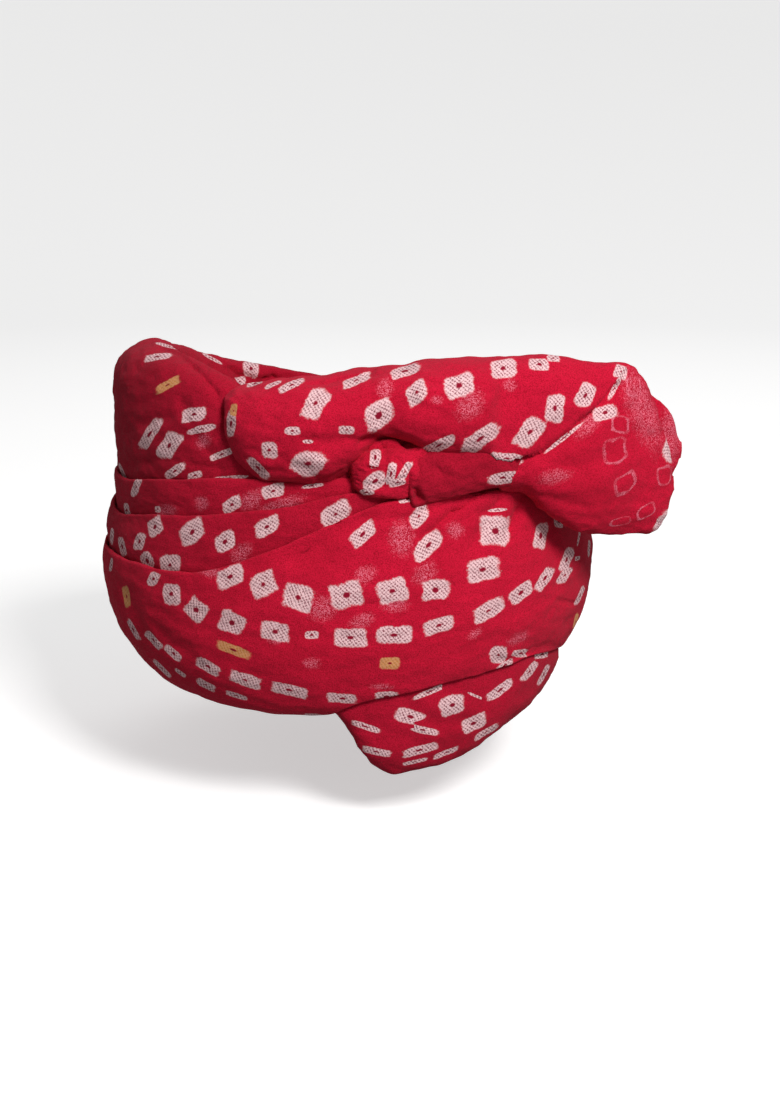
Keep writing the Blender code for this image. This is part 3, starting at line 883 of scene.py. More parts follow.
class Wraps:
    """The wound wraps, each a closed ring from the crown's wall out to its face and its folded lip."""

    # Columns: height over the head's height, radius over half the body's width at the sides and
    # over half its depth at brow and nape.
    LOWER = (
        (-0.955, 0.70, 0.80),
        (-0.980, 0.75, 0.83),
        (-0.972, 0.81, 0.87),
        (-0.930, 0.86, 0.915),
        (-0.850, 0.915, 0.955),
        (-0.730, 0.968, 0.985),
        (-0.560, 1.00, 1.00),
        (-0.380, 0.99, 0.995),
        (-0.200, 0.955, 0.965),
        (0.000, 0.944, 0.94),
    )
    # Columns: height over the crest's height at that azimuth, then as above.
    UPPER = (
        (0.30, 0.940, 0.92),
        (0.60, 0.938, 0.90),
        (0.80, 0.92, 0.875),
        (0.94, 0.86, 0.84),
        (1.00, 0.760, 0.81),
        (0.92, 0.705, 0.79),
        (0.66, 0.685, 0.785),
    )
    # Columns: azimuth, top of the crest over the crest's height.
    CREST_TOP = (
        (-180, 0.23),
        (-150, 0.42),
        (-135, 0.56),
        (-120, 0.70),
        (-105, 0.82),
        (-90, 0.92),
        (-75, 0.98),
        (-60, 1.00),
        (-45, 0.98),
        (-30, 0.86),
        (-15, 0.62),
        (0, 0.47),
        (30, 0.40),
        (60, 0.36),
        (90, 0.32),
        (120, 0.25),
        (150, 0.21),
    )
    # Columns: azimuth, top edge of the belly, middle and upper wraps over the head's height.
    CREASES = (
        (-180, -0.50, -0.22, 0.00),
        (-150, -0.55, -0.30, -0.05),
        (-120, -0.52, -0.31, -0.10),
        (-90, -0.45, -0.26, -0.11),
        (-63, -0.407, -0.232, -0.08),
        (-47, -0.382, -0.175, -0.025),
        (-33, -0.366, -0.133, 0.015),
        (-22, -0.300, -0.098, 0.040),
        (-12, -0.215, -0.062, 0.040),
        (-3, -0.130, -0.020, 0.058),
        (4, -0.072, 0.000, 0.062),
        (11, -0.035, 0.005, 0.060),
        (30, -0.030, 0.030, 0.090),
        (60, -0.150, -0.020, 0.075),
        (90, -0.250, -0.080, 0.045),
        (120, -0.360, -0.140, 0.020),
        (150, -0.450, -0.180, 0.010),
    )
    # Columns: azimuth, how far along the surface from the rim the belly wrap's lower edge lies and
    # how far the first turn hangs below it, over the head's height.
    DROOP = (
        (-180, 0.03, 0.004),
        (-20, 0.03, 0.004),
        (-8, 0.05, 0.004),
        (-3, 0.12, 0.02),
        (0, 0.18, 0.12),
        (3, 0.21, 0.24),
        (6.5, 0.235, 0.345),
        (12, 0.265, 0.415),
        (19, 0.30, 0.43),
        (29, 0.33, 0.42),
        (36, 0.36, 0.40),
        (44, 0.375, 0.36),
        (59, 0.33, 0.26),
        (75, 0.25, 0.15),
        (90, 0.15, 0.07),
        (110, 0.06, 0.01),
        (160, 0.03, 0.004),
    )

    # Points on each narrow stretch of a fold, and the round of its lip: from which angle to which,
    # in radians, and its reach and depths over the fold's thickness.
    FOLD_POINTS = 4
    LIP_TURN = (0.5, 2.6)
    LIP_REACH = 0.45
    HEM_REACH = 0.35
    LIP_DEPTHS = (0.15, 0.85)
    # Points between two rows of the tables, and the step at which a slope is read, in metres.
    CURVE_POINTS = 16
    STEP = 0.002
    # How far from the inner turns cloth begins to be loose and is wholly so, in metres, and the same
    # for how far the first turn hangs, over the head's height.
    LOOSE = (0.001, 0.007)
    HANGING = (0.05, 0.20)

    def __init__(self, sizes: Sizes, faces: WrapFaces) -> None:
        """Works out the wraps' sections.

        Args:
            sizes: The wraps' sizes.
            faces: How finely they are modelled.
        """
        self.sizes = sizes
        self.faces = faces
        self.azimuths = np.linspace(-180, 180, faces.sections, endpoint=False)
        self.outlines: dict[str, list[np.ndarray]] = {}
        for azimuth in self.azimuths:
            for name, outline in self.section(float(azimuth)).items():
                self.outlines.setdefault(name, []).append(outline)

    def read(self, table: tuple, column: int, azimuth: float) -> float:
        """Reads a table that goes round the head at one azimuth."""
        return float(cubic(table, column, azimuth, 360)[0])

    def oval(self, azimuth: float, side: float, end: float, power: float) -> float:
        """Radius at an azimuth of an oval with that half width and half depth."""
        turn = math.radians(azimuth)
        sine, cosine = abs(math.sin(turn)), abs(math.cos(turn))
        return ((sine / side) ** power + (cosine / end) ** power) ** (-1 / power)

    def head(self, azimuth: float) -> float:
        """Radius of the head at an azimuth."""
        return self.oval(azimuth, self.sizes.head_width / 2, self.sizes.head_length / 2, 2.0)

    def core(self, azimuth: float) -> float:
        """Outer radius of the crown's wall."""
        return self.head(azimuth) + self.sizes.crown_wall + self.sizes.gap

    def line(self, azimuth: float) -> BodyLine:
        """The body's outer line at an azimuth, as a smooth curve through the tables' rows."""
        s = self.sizes
        top = s.crest_height * self.read(self.CREST_TOP, 1, azimuth)
        rows = [(h * s.head_height, a, b) for h, a, b in self.LOWER]
        rows += [(h * top, a, b) for h, a, b in self.UPPER]
        knots = np.array(
            [
                (self.oval(azimuth, a * s.body_width / 2, b * s.body_depth / 2, s.roundness), z)
                for z, a, b in rows
            ]
        )
        ends = np.vstack([2 * knots[0] - knots[1], knots, 2 * knots[-1] - knots[-2]])
        t = np.linspace(0, 1, self.CURVE_POINTS, endpoint=False)[:, None]
        runs = []
        for k in range(len(knots) - 1):
            a, b, c, d = ends[k : k + 4]
            bend = 2 * a - 5 * b + 4 * c - d
            twist = 3 * b - a - 3 * c + d
            runs.append(0.5 * (2 * b + (c - a) * t + bend * t**2 + twist * t**3))
        return BodyLine(np.vstack(runs + [knots[-1:]]))

    def section(self, azimuth: float) -> dict[str, np.ndarray]:
        """The wraps' closed outlines at one azimuth.

        Args:
            azimuth: The azimuth in degrees.

        Returns:
            Each wrap's outline as radius and height, by the wrap's name.
        """
        s = self.sizes
        line = self.line(azimuth)
        core = self.core(azimuth)
        low = s.head_height * self.read(self.DROOP, 1, azimuth)
        edges = [low]
        edges += [line.climb(s.head_height * self.read(self.CREASES, k, azimuth)) for k in (1, 2, 3)]
        made = {"first_turn": self.first_turn(azimuth, line, low)}
        start, inset = self.hem(line, core, low), 0.0
        for name, begin, end in zip(("belly_wrap", "middle_wrap", "upper_wrap"), edges, edges[1:]):
            puff = 0.0 if name == "belly_wrap" else s.wrap_puff
            face, inset = self.face(name, line, (begin, end), inset, puff)
            lip = self.lip(line, end, inset, 1, self.LIP_REACH)
            tail = np.linspace(end, end - s.fold_overlap, self.FOLD_POINTS)
            under = line.below(tail, inset + s.fold_thickness)
            seat = np.array([[core, line.below(end, 0.0)[0, 1] - s.seat_drop]])
            made[name] = np.vstack([start, face, lip, under, seat])
            inset = inset + s.fold_thickness + s.gap
            tuck = line.below(np.linspace(end - s.fold_overlap, end, self.FOLD_POINTS + 1), inset)
            start = np.vstack([seat + (0, s.gap), tuck])
        face, _ = self.face("crest_wrap", line, (edges[-1], line.arc[-1]), inset, 0.0)
        made["crest_wrap"] = np.vstack([start, face, [[core, s.crown_shoulder]]])
        return made

    def face(
        self, name: str, line: BodyLine, ends: Pair, inset: float, puff: float
    ) -> tuple[np.ndarray, float]:
        """A wrap's outer face, which comes out from under the fold below it.

        Args:
            name: The wrap's name.
            line: The body's outer line.
            ends: Where the face begins and ends along the line.
            inset: How deep it begins, in metres.
            puff: How far it swells in the middle, in metres.

        Returns:
            The face's points, and how deep it ends.
        """
        overlap = self.sizes.fold_overlap
        begin, end = ends
        share = np.linspace(0, 1, getattr(self.faces, name))
        at = begin + share * (end - begin)
        depth = inset * np.exp(-(at - begin) / (2 * overlap))
        swell = puff * min(1.0, (end - begin) / (4 * overlap))
        return line.below(at, depth - swell * np.sin(math.pi * share)), float(depth[-1])

    def lip(self, line: BodyLine, edge: float, inset: float, way: int, reach: float) -> np.ndarray:
        """The round of a folded edge.

        Args:
            line: The body's outer line.
            edge: Where the edge lies along it.
            inset: How deep the cloth's face is there, in metres.
            way: 1 for an upper edge, walked inwards, and -1 for a lower one, walked outwards.
            reach: How far the round reaches beyond the edge, over the fold's thickness.

        Returns:
            The round's points.
        """
        thick = self.sizes.fold_thickness
        bulge = reach * thick * np.sin(np.linspace(*self.LIP_TURN, self.FOLD_POINTS))
        depths = np.linspace(*self.LIP_DEPTHS[::way], self.FOLD_POINTS) * thick
        return line.below(edge + way * bulge, depths + inset)

    def hem(self, line: BodyLine, core: float, low: float) -> np.ndarray:
        """The belly wrap's lower edge, from its seat on the inner turns out to its face."""
        s = self.sizes
        seat = np.array([[core, s.hem_seat * s.head_height]])
        under = line.below(np.linspace(low + s.fold_overlap, low, self.FOLD_POINTS), s.fold_thickness)
        return np.vstack([seat, under, self.lip(line, low, 0.0, -1, self.HEM_REACH)])

    def first_turn(self, azimuth: float, line: BodyLine, low: float) -> np.ndarray:
        """The first turn's outline, which swells and droops below the belly wrap's lower edge.

        Args:
            azimuth: The azimuth in degrees.
            line: The body's outer line there.
            low: Where the belly wrap's lower edge lies along it.

        Returns:
            The outline as radius and height.
        """
        s = self.sizes
        core = self.core(azimuth)
        tuck = np.linspace(low + s.fold_overlap - 3 * s.gap, low, self.FOLD_POINTS)
        top = line.below(tuck, s.fold_thickness + s.gap)
        seat = np.array([[core, s.hem_seat * s.head_height - s.gap]])
        edge = top[-1]
        hang = s.head_height * self.read(self.DROOP, 2, azimuth)
        heel = core + s.droop_heel * (edge[0] - core)
        turn = np.linspace(0, math.pi, self.faces.first_turn)[1:]
        reach = np.where(turn < math.pi / 2, edge[0] - heel, heel - core)
        across = signed_power(np.cos(turn), s.droop_curve)
        drop = np.sin(turn) ** s.droop_curve
        return np.vstack([seat, top, np.stack([heel + reach * across, edge[1] - hang * drop], axis=1)])

    def loft(self, name: str) -> Loft:
        """One wrap as a ring in space."""
        return Loft.turned(name + "_cloth", self.outlines[name], self.azimuths)

    def loose(self, name: str, loft: Loft) -> np.ndarray:
        """How free each point of a wrap is to crumple.

        Args:
            name: The wrap's name.
            loft: The wrap.

        Returns:
            0 where it is held against the inner turns or is thin, and 1 well away from there.
        """
        core = np.array([self.core(float(azimuth)) for azimuth in self.azimuths])[:, None]
        radius = np.hypot(loft.points[:, :, 0], loft.points[:, :, 1])
        free = smooth(*self.LOOSE, radius - core)
        if name == "first_turn":
            hang = cubic(self.DROOP, 2, self.azimuths, 360)[:, None]
            free = free * smooth(*self.HANGING, hang)
        return free

    def on_body(self, azimuth: float, level: float, stand_off: float) -> np.ndarray:
        """Point off the body's outer surface.

        Args:
            azimuth: The azimuth in degrees.
            level: Its height over the head's height.
            stand_off: Its distance from the surface in metres.

        Returns:
            The point.
        """
        line = self.line(azimuth)
        at = line.climb(level * self.sizes.head_height)
        before, after = line.read(line.points, np.array([at - self.STEP, at + self.STEP]))
        slope = (after - before) / np.hypot(*(after - before))
        radius, height = (before + after) / 2 + np.array([slope[1], -slope[0]]) * stand_off
        turn = math.radians(azimuth)
        return np.array([radius * math.sin(turn), -radius * math.cos(turn), height])


@dataclass(frozen=True)
class Bow:
    """The bow across the brow, from its rounded left end over the knot to the fan.

    Attributes:
        depth: Its depth in metres, of which the tables hold shares.
        height: Its height in metres, of which the tables hold shares.
        front: Where its middle lies along Y.
        level: How high its middle lies.
        square: How square its sections are: 2 is an oval.
        faces: How many sections the bow has, and how many points each.
        loop_faces: The same for the sheer loop.
    """

    depth: float = 0.052
    height: float = 0.084
    front: float = -0.104
    level: float = 0.030
    square: float = 2.4
    faces: tuple[int, int] = (300, 140)
    loop_faces: tuple[int, int] = (120, 90)

    # Columns: place along the bow over its length, the centre's depth and level and the half depth
    # and half height, over the bow's depth and height.
    STATIONS = (
        (0.000, 0.06, 0.01, 0.06, 0.04),
        (0.012, 0.04, 0.00, 0.25, 0.13),
        (0.045, 0.00, -0.035, 0.38, 0.215),
        (0.110, -0.05, -0.06, 0.46, 0.28),
        (0.200, -0.08, -0.06, 0.50, 0.30),
        (0.285, -0.05, 0.01, 0.50, 0.265),
        (0.325, -0.03, 0.07, 0.49, 0.215),
        (0.365, -0.01, 0.105, 0.48, 0.19),
        (0.405, -0.02, 0.095, 0.50, 0.205),
        (0.435, -0.03, 0.080, 0.51, 0.240),
        (0.470, -0.02, 0.070, 0.51, 0.255),
        (0.530, 0.02, 0.06, 0.50, 0.27),
        (0.570, 0.05, 0.05, 0.48, 0.28),
        (0.605, 0.12, -0.04, 0.40, 0.375),
        (0.645, 0.14, -0.045, 0.38, 0.38),
        (0.690, 0.17, -0.09, 0.37, 0.425),
        (0.790, 0.26, -0.19, 0.32, 0.49),
        (0.878, 0.39, -0.22, 0.24, 0.49),
        (0.915, 0.45, -0.257, 0.19, 0.46),
        (0.948, 0.49, -0.337, 0.15, 0.39),
        (0.970, 0.52, -0.40, 0.11, 0.29),
        (0.988, 0.54, -0.424, 0.07, 0.16),
        (1.000, 0.55, -0.43, 0.02, 0.04),
    )
    # The same for the sheer loop behind the fan, over the loop's own length.
    LOOP = (
        (0.00, 0.52, -0.12, 0.05, 0.10),
        (0.08, 0.54, -0.13, 0.10, 0.24),
        (0.30, 0.60, -0.16, 0.14, 0.34),
        (0.55, 0.68, -0.21, 0.13, 0.38),
        (0.76, 0.78, -0.25, 0.11, 0.36),
        (0.88, 0.85, -0.27, 0.09, 0.28),
        (0.95, 0.90, -0.28, 0.07, 0.19),
        (1.00, 0.93, -0.29, 0.02, 0.05),
    )

    def tube(self, node: str, table: tuple, faces: tuple[int, int]) -> Loft:
        """Rounded sections along X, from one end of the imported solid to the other.

        Args:
            node: The solid that the tube stands for.
            table: The stations, with shares of the bow's sizes.
            faces: How many sections, and how many points each.

        Returns:
            The tube.
        """
        low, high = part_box(node)
        starts, length = float(low[0]), float(high[0] - low[0])
        count, sides = faces
        eased = (1 - np.cos(np.linspace(0, math.pi, count))) / 2
        place = 0.5 * (np.linspace(0, 1, count) + eased)
        turn = np.linspace(0, 2 * math.pi, sides, endpoint=False)
        ahead, rise, deep, tall = (cubic(table, column, place)[:, None] for column in (1, 2, 3, 4))
        power = 2 / self.square
        points = np.zeros((count, sides, 3))
        points[:, :, 0] = (starts + place * length)[:, None]
        points[:, :, 1] = self.front + self.depth * (ahead + deep * signed_power(np.cos(turn), power))
        points[:, :, 2] = self.level + self.height * (rise + tall * signed_power(np.sin(turn), power))
        return Loft(node + "_cloth", points, False)

    def loft(self) -> Loft:
        """The bow as a closed tube."""
        return self.tube("bow", self.STATIONS, self.faces)

    def loop(self) -> Loft:
        """The sheer loop behind the fan."""
        return self.tube("back_loop", self.LOOP, self.loop_faces)


@dataclass(frozen=True)
class Crown:
    """The gathered layers over the head and the inner turns round it, with the head's hollow inside.

    Attributes:
        wraps: The wraps round the crown, whose core it fills.
        seam: How far below the top of the hollow the gathered layers end.
        gathers: How many gathers go round.
        gather_depth: How deep they are over the top.
        inner_gather_depth: How deep they are in the hollow.
        swirl: How far the gathers turn on their way up over the top, over the quarter turn there.
        inner_swirl: The same in the hollow.
        gather_fade: How sharply the gathers fade towards the rim and the middle of the top.
        inner_fade: The same in the hollow.
        hollow_curve: How square the hollow's dome is: 1 is an oval.
        dome_curve: How flat the top is.
        dome_start: Where the top begins on its quarter turn, in radians.
        sections: How many sections go round.
        rows: How many points the hollow, the wall and the top have.
        band_rows: How many points the band's lower edge and each of its walls have.
    """

    wraps: Wraps
    seam: float = 0.057
    gathers: int = 34
    gather_depth: float = 0.0016
    inner_gather_depth: float = 0.0007
    swirl: float = 5.0
    inner_swirl: float = 1.5
    gather_fade: float = 0.7
    inner_fade: float = 2.0
    hollow_curve: float = 0.85
    dome_curve: float = 0.8
    dome_start: float = 0.12
    sections: int = 360
    rows: tuple[int, int, int] = (36, 14, 44)
    band_rows: tuple[int, int] = (9, 18)

    @property
    def azimuths(self) -> np.ndarray:
        """Azimuths of the sections."""
        return np.linspace(-180, 180, self.sections, endpoint=False)

    def cap_outline(self, azimuth: float) -> np.ndarray:
        """The gathered layers' outline: up the hollow, up the wall's outside and over the top.

        Args:
            azimuth: The azimuth in degrees.

        Returns:
            The outline as radius and height.
        """
        s = self.wraps.sizes
        inner, outer, top = self.rows
        head = self.wraps.head(azimuth)
        wall = head + s.crown_wall
        around = math.radians(azimuth) * self.gathers
        turn = np.linspace(0, math.pi / 2, inner)
        wave = np.sin(around + self.inner_swirl * turn)
        pleat = self.inner_gather_depth * wave * np.sin(2 * turn) ** self.inner_fade
        hollow = [head * np.sin(turn) ** self.hollow_curve, -self.seam * (1 - np.cos(turn)) + pleat]
        side = [[wall] * outer, np.linspace(-self.seam, s.crown_shoulder - s.gap, outer)]
        turn = np.linspace(self.dome_start, math.pi / 2, top)
        wave = np.sin(around + self.swirl * turn)
        pleat = self.gather_depth * wave * np.sin(2 * turn) ** self.gather_fade
        dome = s.crown_shoulder + (s.crown_dome - s.crown_shoulder) * np.sin(turn)
        radius = wall * np.maximum(np.cos(turn), 0.0) ** self.dome_curve
        radius[-1] = 0.0
        over = [radius, dome - self.gather_depth * np.sin(turn) + pleat]
        return np.concatenate([hollow, side, over], axis=1).T

    def band_outline(self, azimuth: float) -> np.ndarray:
        """The inner turns' outline: round the lower edge, up the outside and down the inside.

        Args:
            azimuth: The azimuth in degrees.

        Returns:
            The outline as radius and height.
        """
        s = self.wraps.sizes
        around, walls = self.band_rows
        head = self.wraps.head(azimuth)
        edge = s.crown_wall / 2
        low = -s.crown_rim + 2 * edge
        top = -self.seam - s.gap
        turn = np.linspace(-math.pi, 0, around)
        roll = [head + edge + edge * np.cos(turn), -s.crown_rim + edge + edge * np.sin(turn)]
        side = [[head + 2 * edge] * walls, np.linspace(low, top, walls)]
        inner = [[head] * walls, np.linspace(top, low, walls)]
        return np.concatenate([roll, side, inner], axis=1).T

    def cap(self) -> Loft:
        """The gathered layers over the head."""
        outlines = [self.cap_outline(azimuth) for azimuth in self.azimuths]
        return Loft.turned("crown_cloth", outlines, self.azimuths)

    def band(self) -> Loft:
        """The inner turns round the head."""
        outlines = [self.band_outline(azimuth) for azimuth in self.azimuths]
        return Loft.turned("inner_band_cloth", outlines, self.azimuths)


@dataclass(frozen=True)
class Fold:
    """The rolled edge that closes the pocket below the bow.

    Attributes:
        thickness: Its thickness in metres.
        height: Its height in metres.
        taper: How long each rounded end is, over the distance between two rows of the path.
        tip: How thick the very ends are, over the full thickness.
        faces: How many sections, and how many points each.
        path: Azimuth, level over the head's height, and stand-off over the fold's thickness.
    """

    thickness: float = 0.0105
    height: float = 0.0245
    taper: float = 0.4
    tip: float = 0.05
    faces: tuple[int, int] = (90, 72)
    path: tuple[Triple, ...] = (
        (13, 0.040, 0.10),
        (18, 0.052, 0.22),
        (24, 0.073, 0.50),
        (31, 0.088, 0.85),
        (38, 0.085, 0.80),
        (43, 0.075, 0.40),
    )

    def loft(self, wraps: Wraps) -> Loft:
        """The fold as a closed tube along its path on the wraps.

        Args:
            wraps: The wraps that it lies on.

        Returns:
            The tube.
        """
        count, sides = self.faces
        knots = np.array([wraps.on_body(a, level, off * self.thickness) for a, level, off in self.path])
        places = np.linspace(0, len(knots) - 1, count)
        rows = tuple((float(k), *knot) for k, knot in enumerate(knots))
        centres = np.stack([cubic(rows, k, places) for k in (1, 2, 3)], axis=1)
        run = np.gradient(centres, axis=0)
        run /= np.linalg.norm(run, axis=1, keepdims=True)
        out = centres * (1.0, 1.0, 0.0)
        out -= run * np.sum(out * run, axis=1, keepdims=True)
        out /= np.linalg.norm(out, axis=1, keepdims=True)
        rise = np.cross(run, out)
        end = np.clip(np.minimum(places, len(knots) - 1 - places) / self.taper, 0, 1)
        share = self.tip + (1 - self.tip) * np.sqrt(np.clip(1 - (1 - end) ** 2, 0, 1))
        turn = np.linspace(0, 2 * math.pi, sides, endpoint=False)[None, :, None]
        deep = (out * (share * self.thickness / 2)[:, None])[:, None, :] * np.cos(turn)
        tall = (rise * (share * self.height / 2)[:, None])[:, None, :] * np.sin(turn)
        return Loft("pocket_fold_cloth", centres[:, None, :] + deep + tall, False)


@dataclass(frozen=True)
class Knot:
    """The small ball of cloth that draws the bow in, with pleats that run round it.

    Attributes:
        width: Its length from end to end in metres.
        height: Its height in metres.
        depth: Its depth in metres.
        azimuth: Where it sits, in degrees.
        level: How high it sits, over the head's height.
        tilt: How far its right end drops, in degrees; below 0 it rises.
        sink: How deep its centre lies in the body, in metres.
        pleats: How many pleats run along it.
        pleat_depth: How deep they are in metres.
        pleat_swing: How far they swing to and fro on the way, in radians.
        pleat_swings: How fast they do.
        pleat_phase: Where the first pleat lies round the knot, in radians.
        end_curve: How blunt its ends are: 1 is a ball's.
        round_curve: How square its sections are: 1 is an oval.
        tip: How far from the axis the first section lies, in radians.
        faces: How many sections, and how many points each.
    """

    width: float = 0.0385
    height: float = 0.0285
    depth: float = 0.022
    azimuth: float = 10.5
    level: float = 0.100
    tilt: float = -8.0
    sink: float = 0.0012
    pleats: int = 6
    pleat_depth: float = 0.0007
    pleat_swing: float = 2.2
    pleat_swings: float = 1.7
    pleat_phase: float = 1.0
    end_curve: float = 0.7
    round_curve: float = 0.85
    tip: float = 0.02
    faces: tuple[int, int] = (110, 150)

    def loft(self, wraps: Wraps) -> Loft:
        """The knot as a ball of sections from its left end to its right one.

        Args:
            wraps: The wraps that it lies on.

        Returns:
            The ball.
        """
        count, sides = self.faces
        polar = np.linspace(self.tip, math.pi - self.tip, count)[:, None]
        turn = np.linspace(0, 2 * math.pi, sides, endpoint=False)[None, :]
        across = -np.cos(polar) * np.ones_like(turn)
        swing = self.pleat_swing * np.sin(self.pleat_swings * across)
        wave = np.sin(self.pleats * turn + swing + self.pleat_phase)
        radius = np.sin(polar) ** self.end_curve * (1 + self.pleat_depth / self.height * 2 * wave)
        side = across * self.width / 2
        out = -radius * signed_power(np.cos(turn), self.round_curve) * self.depth / 2
        up = radius * signed_power(np.sin(turn), self.round_curve) * self.height / 2
        tilt, yaw = math.radians(self.tilt), math.radians(self.azimuth)
        x = side * math.cos(tilt) + up * math.sin(tilt)
        z = -side * math.sin(tilt) + up * math.cos(tilt)
        turned = [x * math.cos(yaw) - out * math.sin(yaw), x * math.sin(yaw) + out * math.cos(yaw), z]
        centre = wraps.on_body(self.azimuth, self.level, -self.sink)
        return Loft("knot_cloth", np.stack(turned, axis=2) + centre, False)


class SpotChart:
    """Where the tied spots show in the photograph, read from an enlarged crop.

    Columns: place to the right and down in the crop, width and height there, turn in degrees
    against the clock, and how square it is, from 1 for a diamond to 4 for nearly a square.
    """

    BELLY = (
        (802, 628, 90, 46, 42, 3.4), (972, 573, 70, 46, 45, 2.6), (998, 663, 100, 54, 40, 2.2),
        (1200, 618, 88, 84, 0, 4.5), (1165, 733, 96, 64, 12, 3.4), (405, 755, 80, 58, 20, 2.6),
        (505, 778, 78, 68, 28, 4.0), (610, 816, 88, 74, -15, 4.0), (755, 810, 96, 76, 15, 4.2),
        (893, 798, 86, 68, 12, 3.6), (1022, 795, 84, 60, 8, 3.2), (1180, 857, 96, 48, 28, 3.2),
        (1278, 803, 80, 42, 35, 3.0), (230, 808, 56, 64, 0, 2.6), (303, 855, 64, 60, -38, 4.0),
        (410, 893, 78, 62, -20, 3.6), (540, 920, 82, 56, -8, 4.0), (650, 930, 40, 22, 0, 2.2),
        (767, 938, 96, 56, 0, 3.8), (898, 930, 102, 52, 3, 3.0), (1030, 902, 94, 44, 18, 3.2),
        (1338, 632, 74, 40, 80, 2.6), (1392, 590, 36, 36, 0, 2.0), (1415, 705, 78, 34, 65, 3.0),
        (1410, 750, 62, 30, 55, 2.6), (1350, 760, 80, 34, 55, 2.8), (1452, 635, 60, 8, 75, 1.5),
        (1482, 670, 50, 12, 85, 2.0), (1455, 812, 60, 18, 60, 2.5), (1448, 700, 24, 12, 10, 2.0),
        (1210, 990, 52, 50, 0, 2.6), (1230, 1020, 60, 20, 30, 2.5), (1278, 985, 60, 24, 0, 1.7),
        (1342, 988, 56, 24, 5, 2.0), (1395, 985, 50, 18, 45, 2.0), (115, 915, 70, 20, -58, 3.0),
        (175, 945, 70, 24, -42, 3.0), (235, 985, 62, 26, -38, 3.0), (340, 1025, 80, 34, -28, 3.6),
        (450, 1065, 96, 38, -18, 4.0), (583, 1095, 104, 34, -13, 4.0), (742, 1120, 82, 30, -3, 4.0),
        (875, 1115, 72, 30, 3, 4.0), (332, 1080, 64, 24, -28, 3.0), (425, 1112, 66, 16, -15, 3.0),
        (255, 1043, 40, 14, -35, 2.5), (200, 1030, 70, 18, -45, 2.5), (48, 720, 44, 14, 75, 1.8),
        (175, 762, 44, 34, 60, 2.2), (1207, 555, 60, 10, 5, 1.5),
    )
    LOBE = (
        (1303, 1040, 70, 26, 50, 2.8), (1345, 1050, 66, 18, 60, 2.5), (1215, 1095, 90, 30, 32, 2.8),
        (1072, 1140, 74, 56, 15, 2.8), (1135, 1195, 78, 42, 22, 3.0), (1175, 1220, 80, 20, 28, 2.8),
        (1140, 1112, 50, 8, -25, 1.5), (1005, 1100, 108, 16, 22, 1.8), (812, 1205, 96, 18, -18, 2.5),
        (945, 1175, 82, 42, -15, 2.6), (985, 1215, 90, 22, -15, 2.2), (845, 1280, 84, 22, -12, 3.0),
        (975, 1275, 104, 26, 14, 3.4), (1055, 1282, 76, 16, 20, 3.0), (960, 1310, 72, 12, 12, 2.5),
    )
    BANDS = (
        (722, 568, 92, 62, 30, 2.4), (123, 487, 58, 26, 65, 2.6), (95, 555, 36, 40, 0, 1.6),
        (410, 540, 65, 38, 28, 2.8), (535, 498, 64, 40, 12, 2.8), (180, 605, 55, 50, 30, 2.6),
        (290, 622, 82, 62, 32, 3.0), (390, 650, 64, 56, 25, 2.8), (515, 605, 76, 50, 25, 2.6),
        (50, 635, 50, 18, 80, 2.2), (82, 665, 60, 28, -75, 1.7), (133, 650, 54, 36, 70, 2.2),
        (157, 707, 50, 40, -60, 2.4), (225, 720, 65, 60, 0, 2.4), (188, 553, 20, 18, 0, 2.5),
        (815, 502, 45, 16, 0, 1.7), (935, 525, 45, 14, 12, 2.0),
    )
    CREST = (
        (185, 95, 85, 26, 5, 2.5), (297, 268, 75, 42, 8, 3.0), (320, 312, 95, 22, 10, 1.5),
        (165, 325, 108, 40, 52, 3.5), (222, 362, 82, 58, 55, 3.5), (380, 388, 75, 20, 18, 3.0),
        (240, 438, 70, 28, 25, 2.5), (300, 451, 48, 20, 12, 2.5), (405, 458, 105, 12, 3, 1.3),
        (468, 130, 42, 50, 0, 3.0), (480, 175, 50, 42, 15, 3.0), (435, 170, 36, 28, 20, 2.5),
        (535, 178, 50, 16, 25, 2.0), (590, 180, 80, 26, 28, 3.0), (535, 112, 54, 14, -15, 2.0),
        (222, 64, 104, 12, -20, 1.5), (350, 100, 60, 10, -25, 1.5), (82, 440, 60, 16, -60, 1.6),
    )
    BOW = (
        (408, 295, 80, 30, 85, 2.0), (662, 235, 95, 62, 62, 3.2), (592, 318, 45, 24, 0, 1.6),
        (523, 375, 50, 46, 0, 2.2), (640, 415, 116, 78, 8, 0.95), (490, 430, 80, 28, -45, 2.0),
        (640, 350, 32, 12, 0, 1.5), (650, 483, 65, 12, 8, 1.4), (755, 315, 45, 24, 0, 2.2),
        (785, 165, 85, 30, 25, 2.5), (852, 270, 92, 72, 35, 2.8), (930, 138, 90, 38, 20, 2.5),
        (965, 202, 72, 58, 40, 2.6), (1092, 182, 88, 72, 20, 2.6), (1225, 130, 80, 58, 10, 2.2),
        (1155, 342, 130, 50, 32, 2.0), (1030, 362, 105, 34, 25, 2.0), (1235, 400, 95, 32, -5, 1.7),
        (1225, 458, 95, 34, 10, 1.8), (1380, 250, 84, 56, 80, 2.5), (1305, 322, 98, 62, 55, 2.6),
        (1472, 210, 72, 52, 65, 3.0), (1332, 118, 60, 40, 0, 2.0), (1375, 100, 40, 24, 0, 2.2),
        (1578, 140, 42, 42, -15, 4.0), (1558, 190, 76, 16, 62, 1.5), (1530, 262, 80, 44, 15, 1.7),
        (1405, 340, 150, 13, 38, 1.2),
    )
    KNOT = ((841, 398, 58, 30, 84, 2.0), (840, 468, 72, 46, 30, 1.7), (888, 446, 62, 26, 78, 2.4),
            (930, 440, 66, 24, 62, 2.6), (908, 472, 52, 22, 14, 2.2))
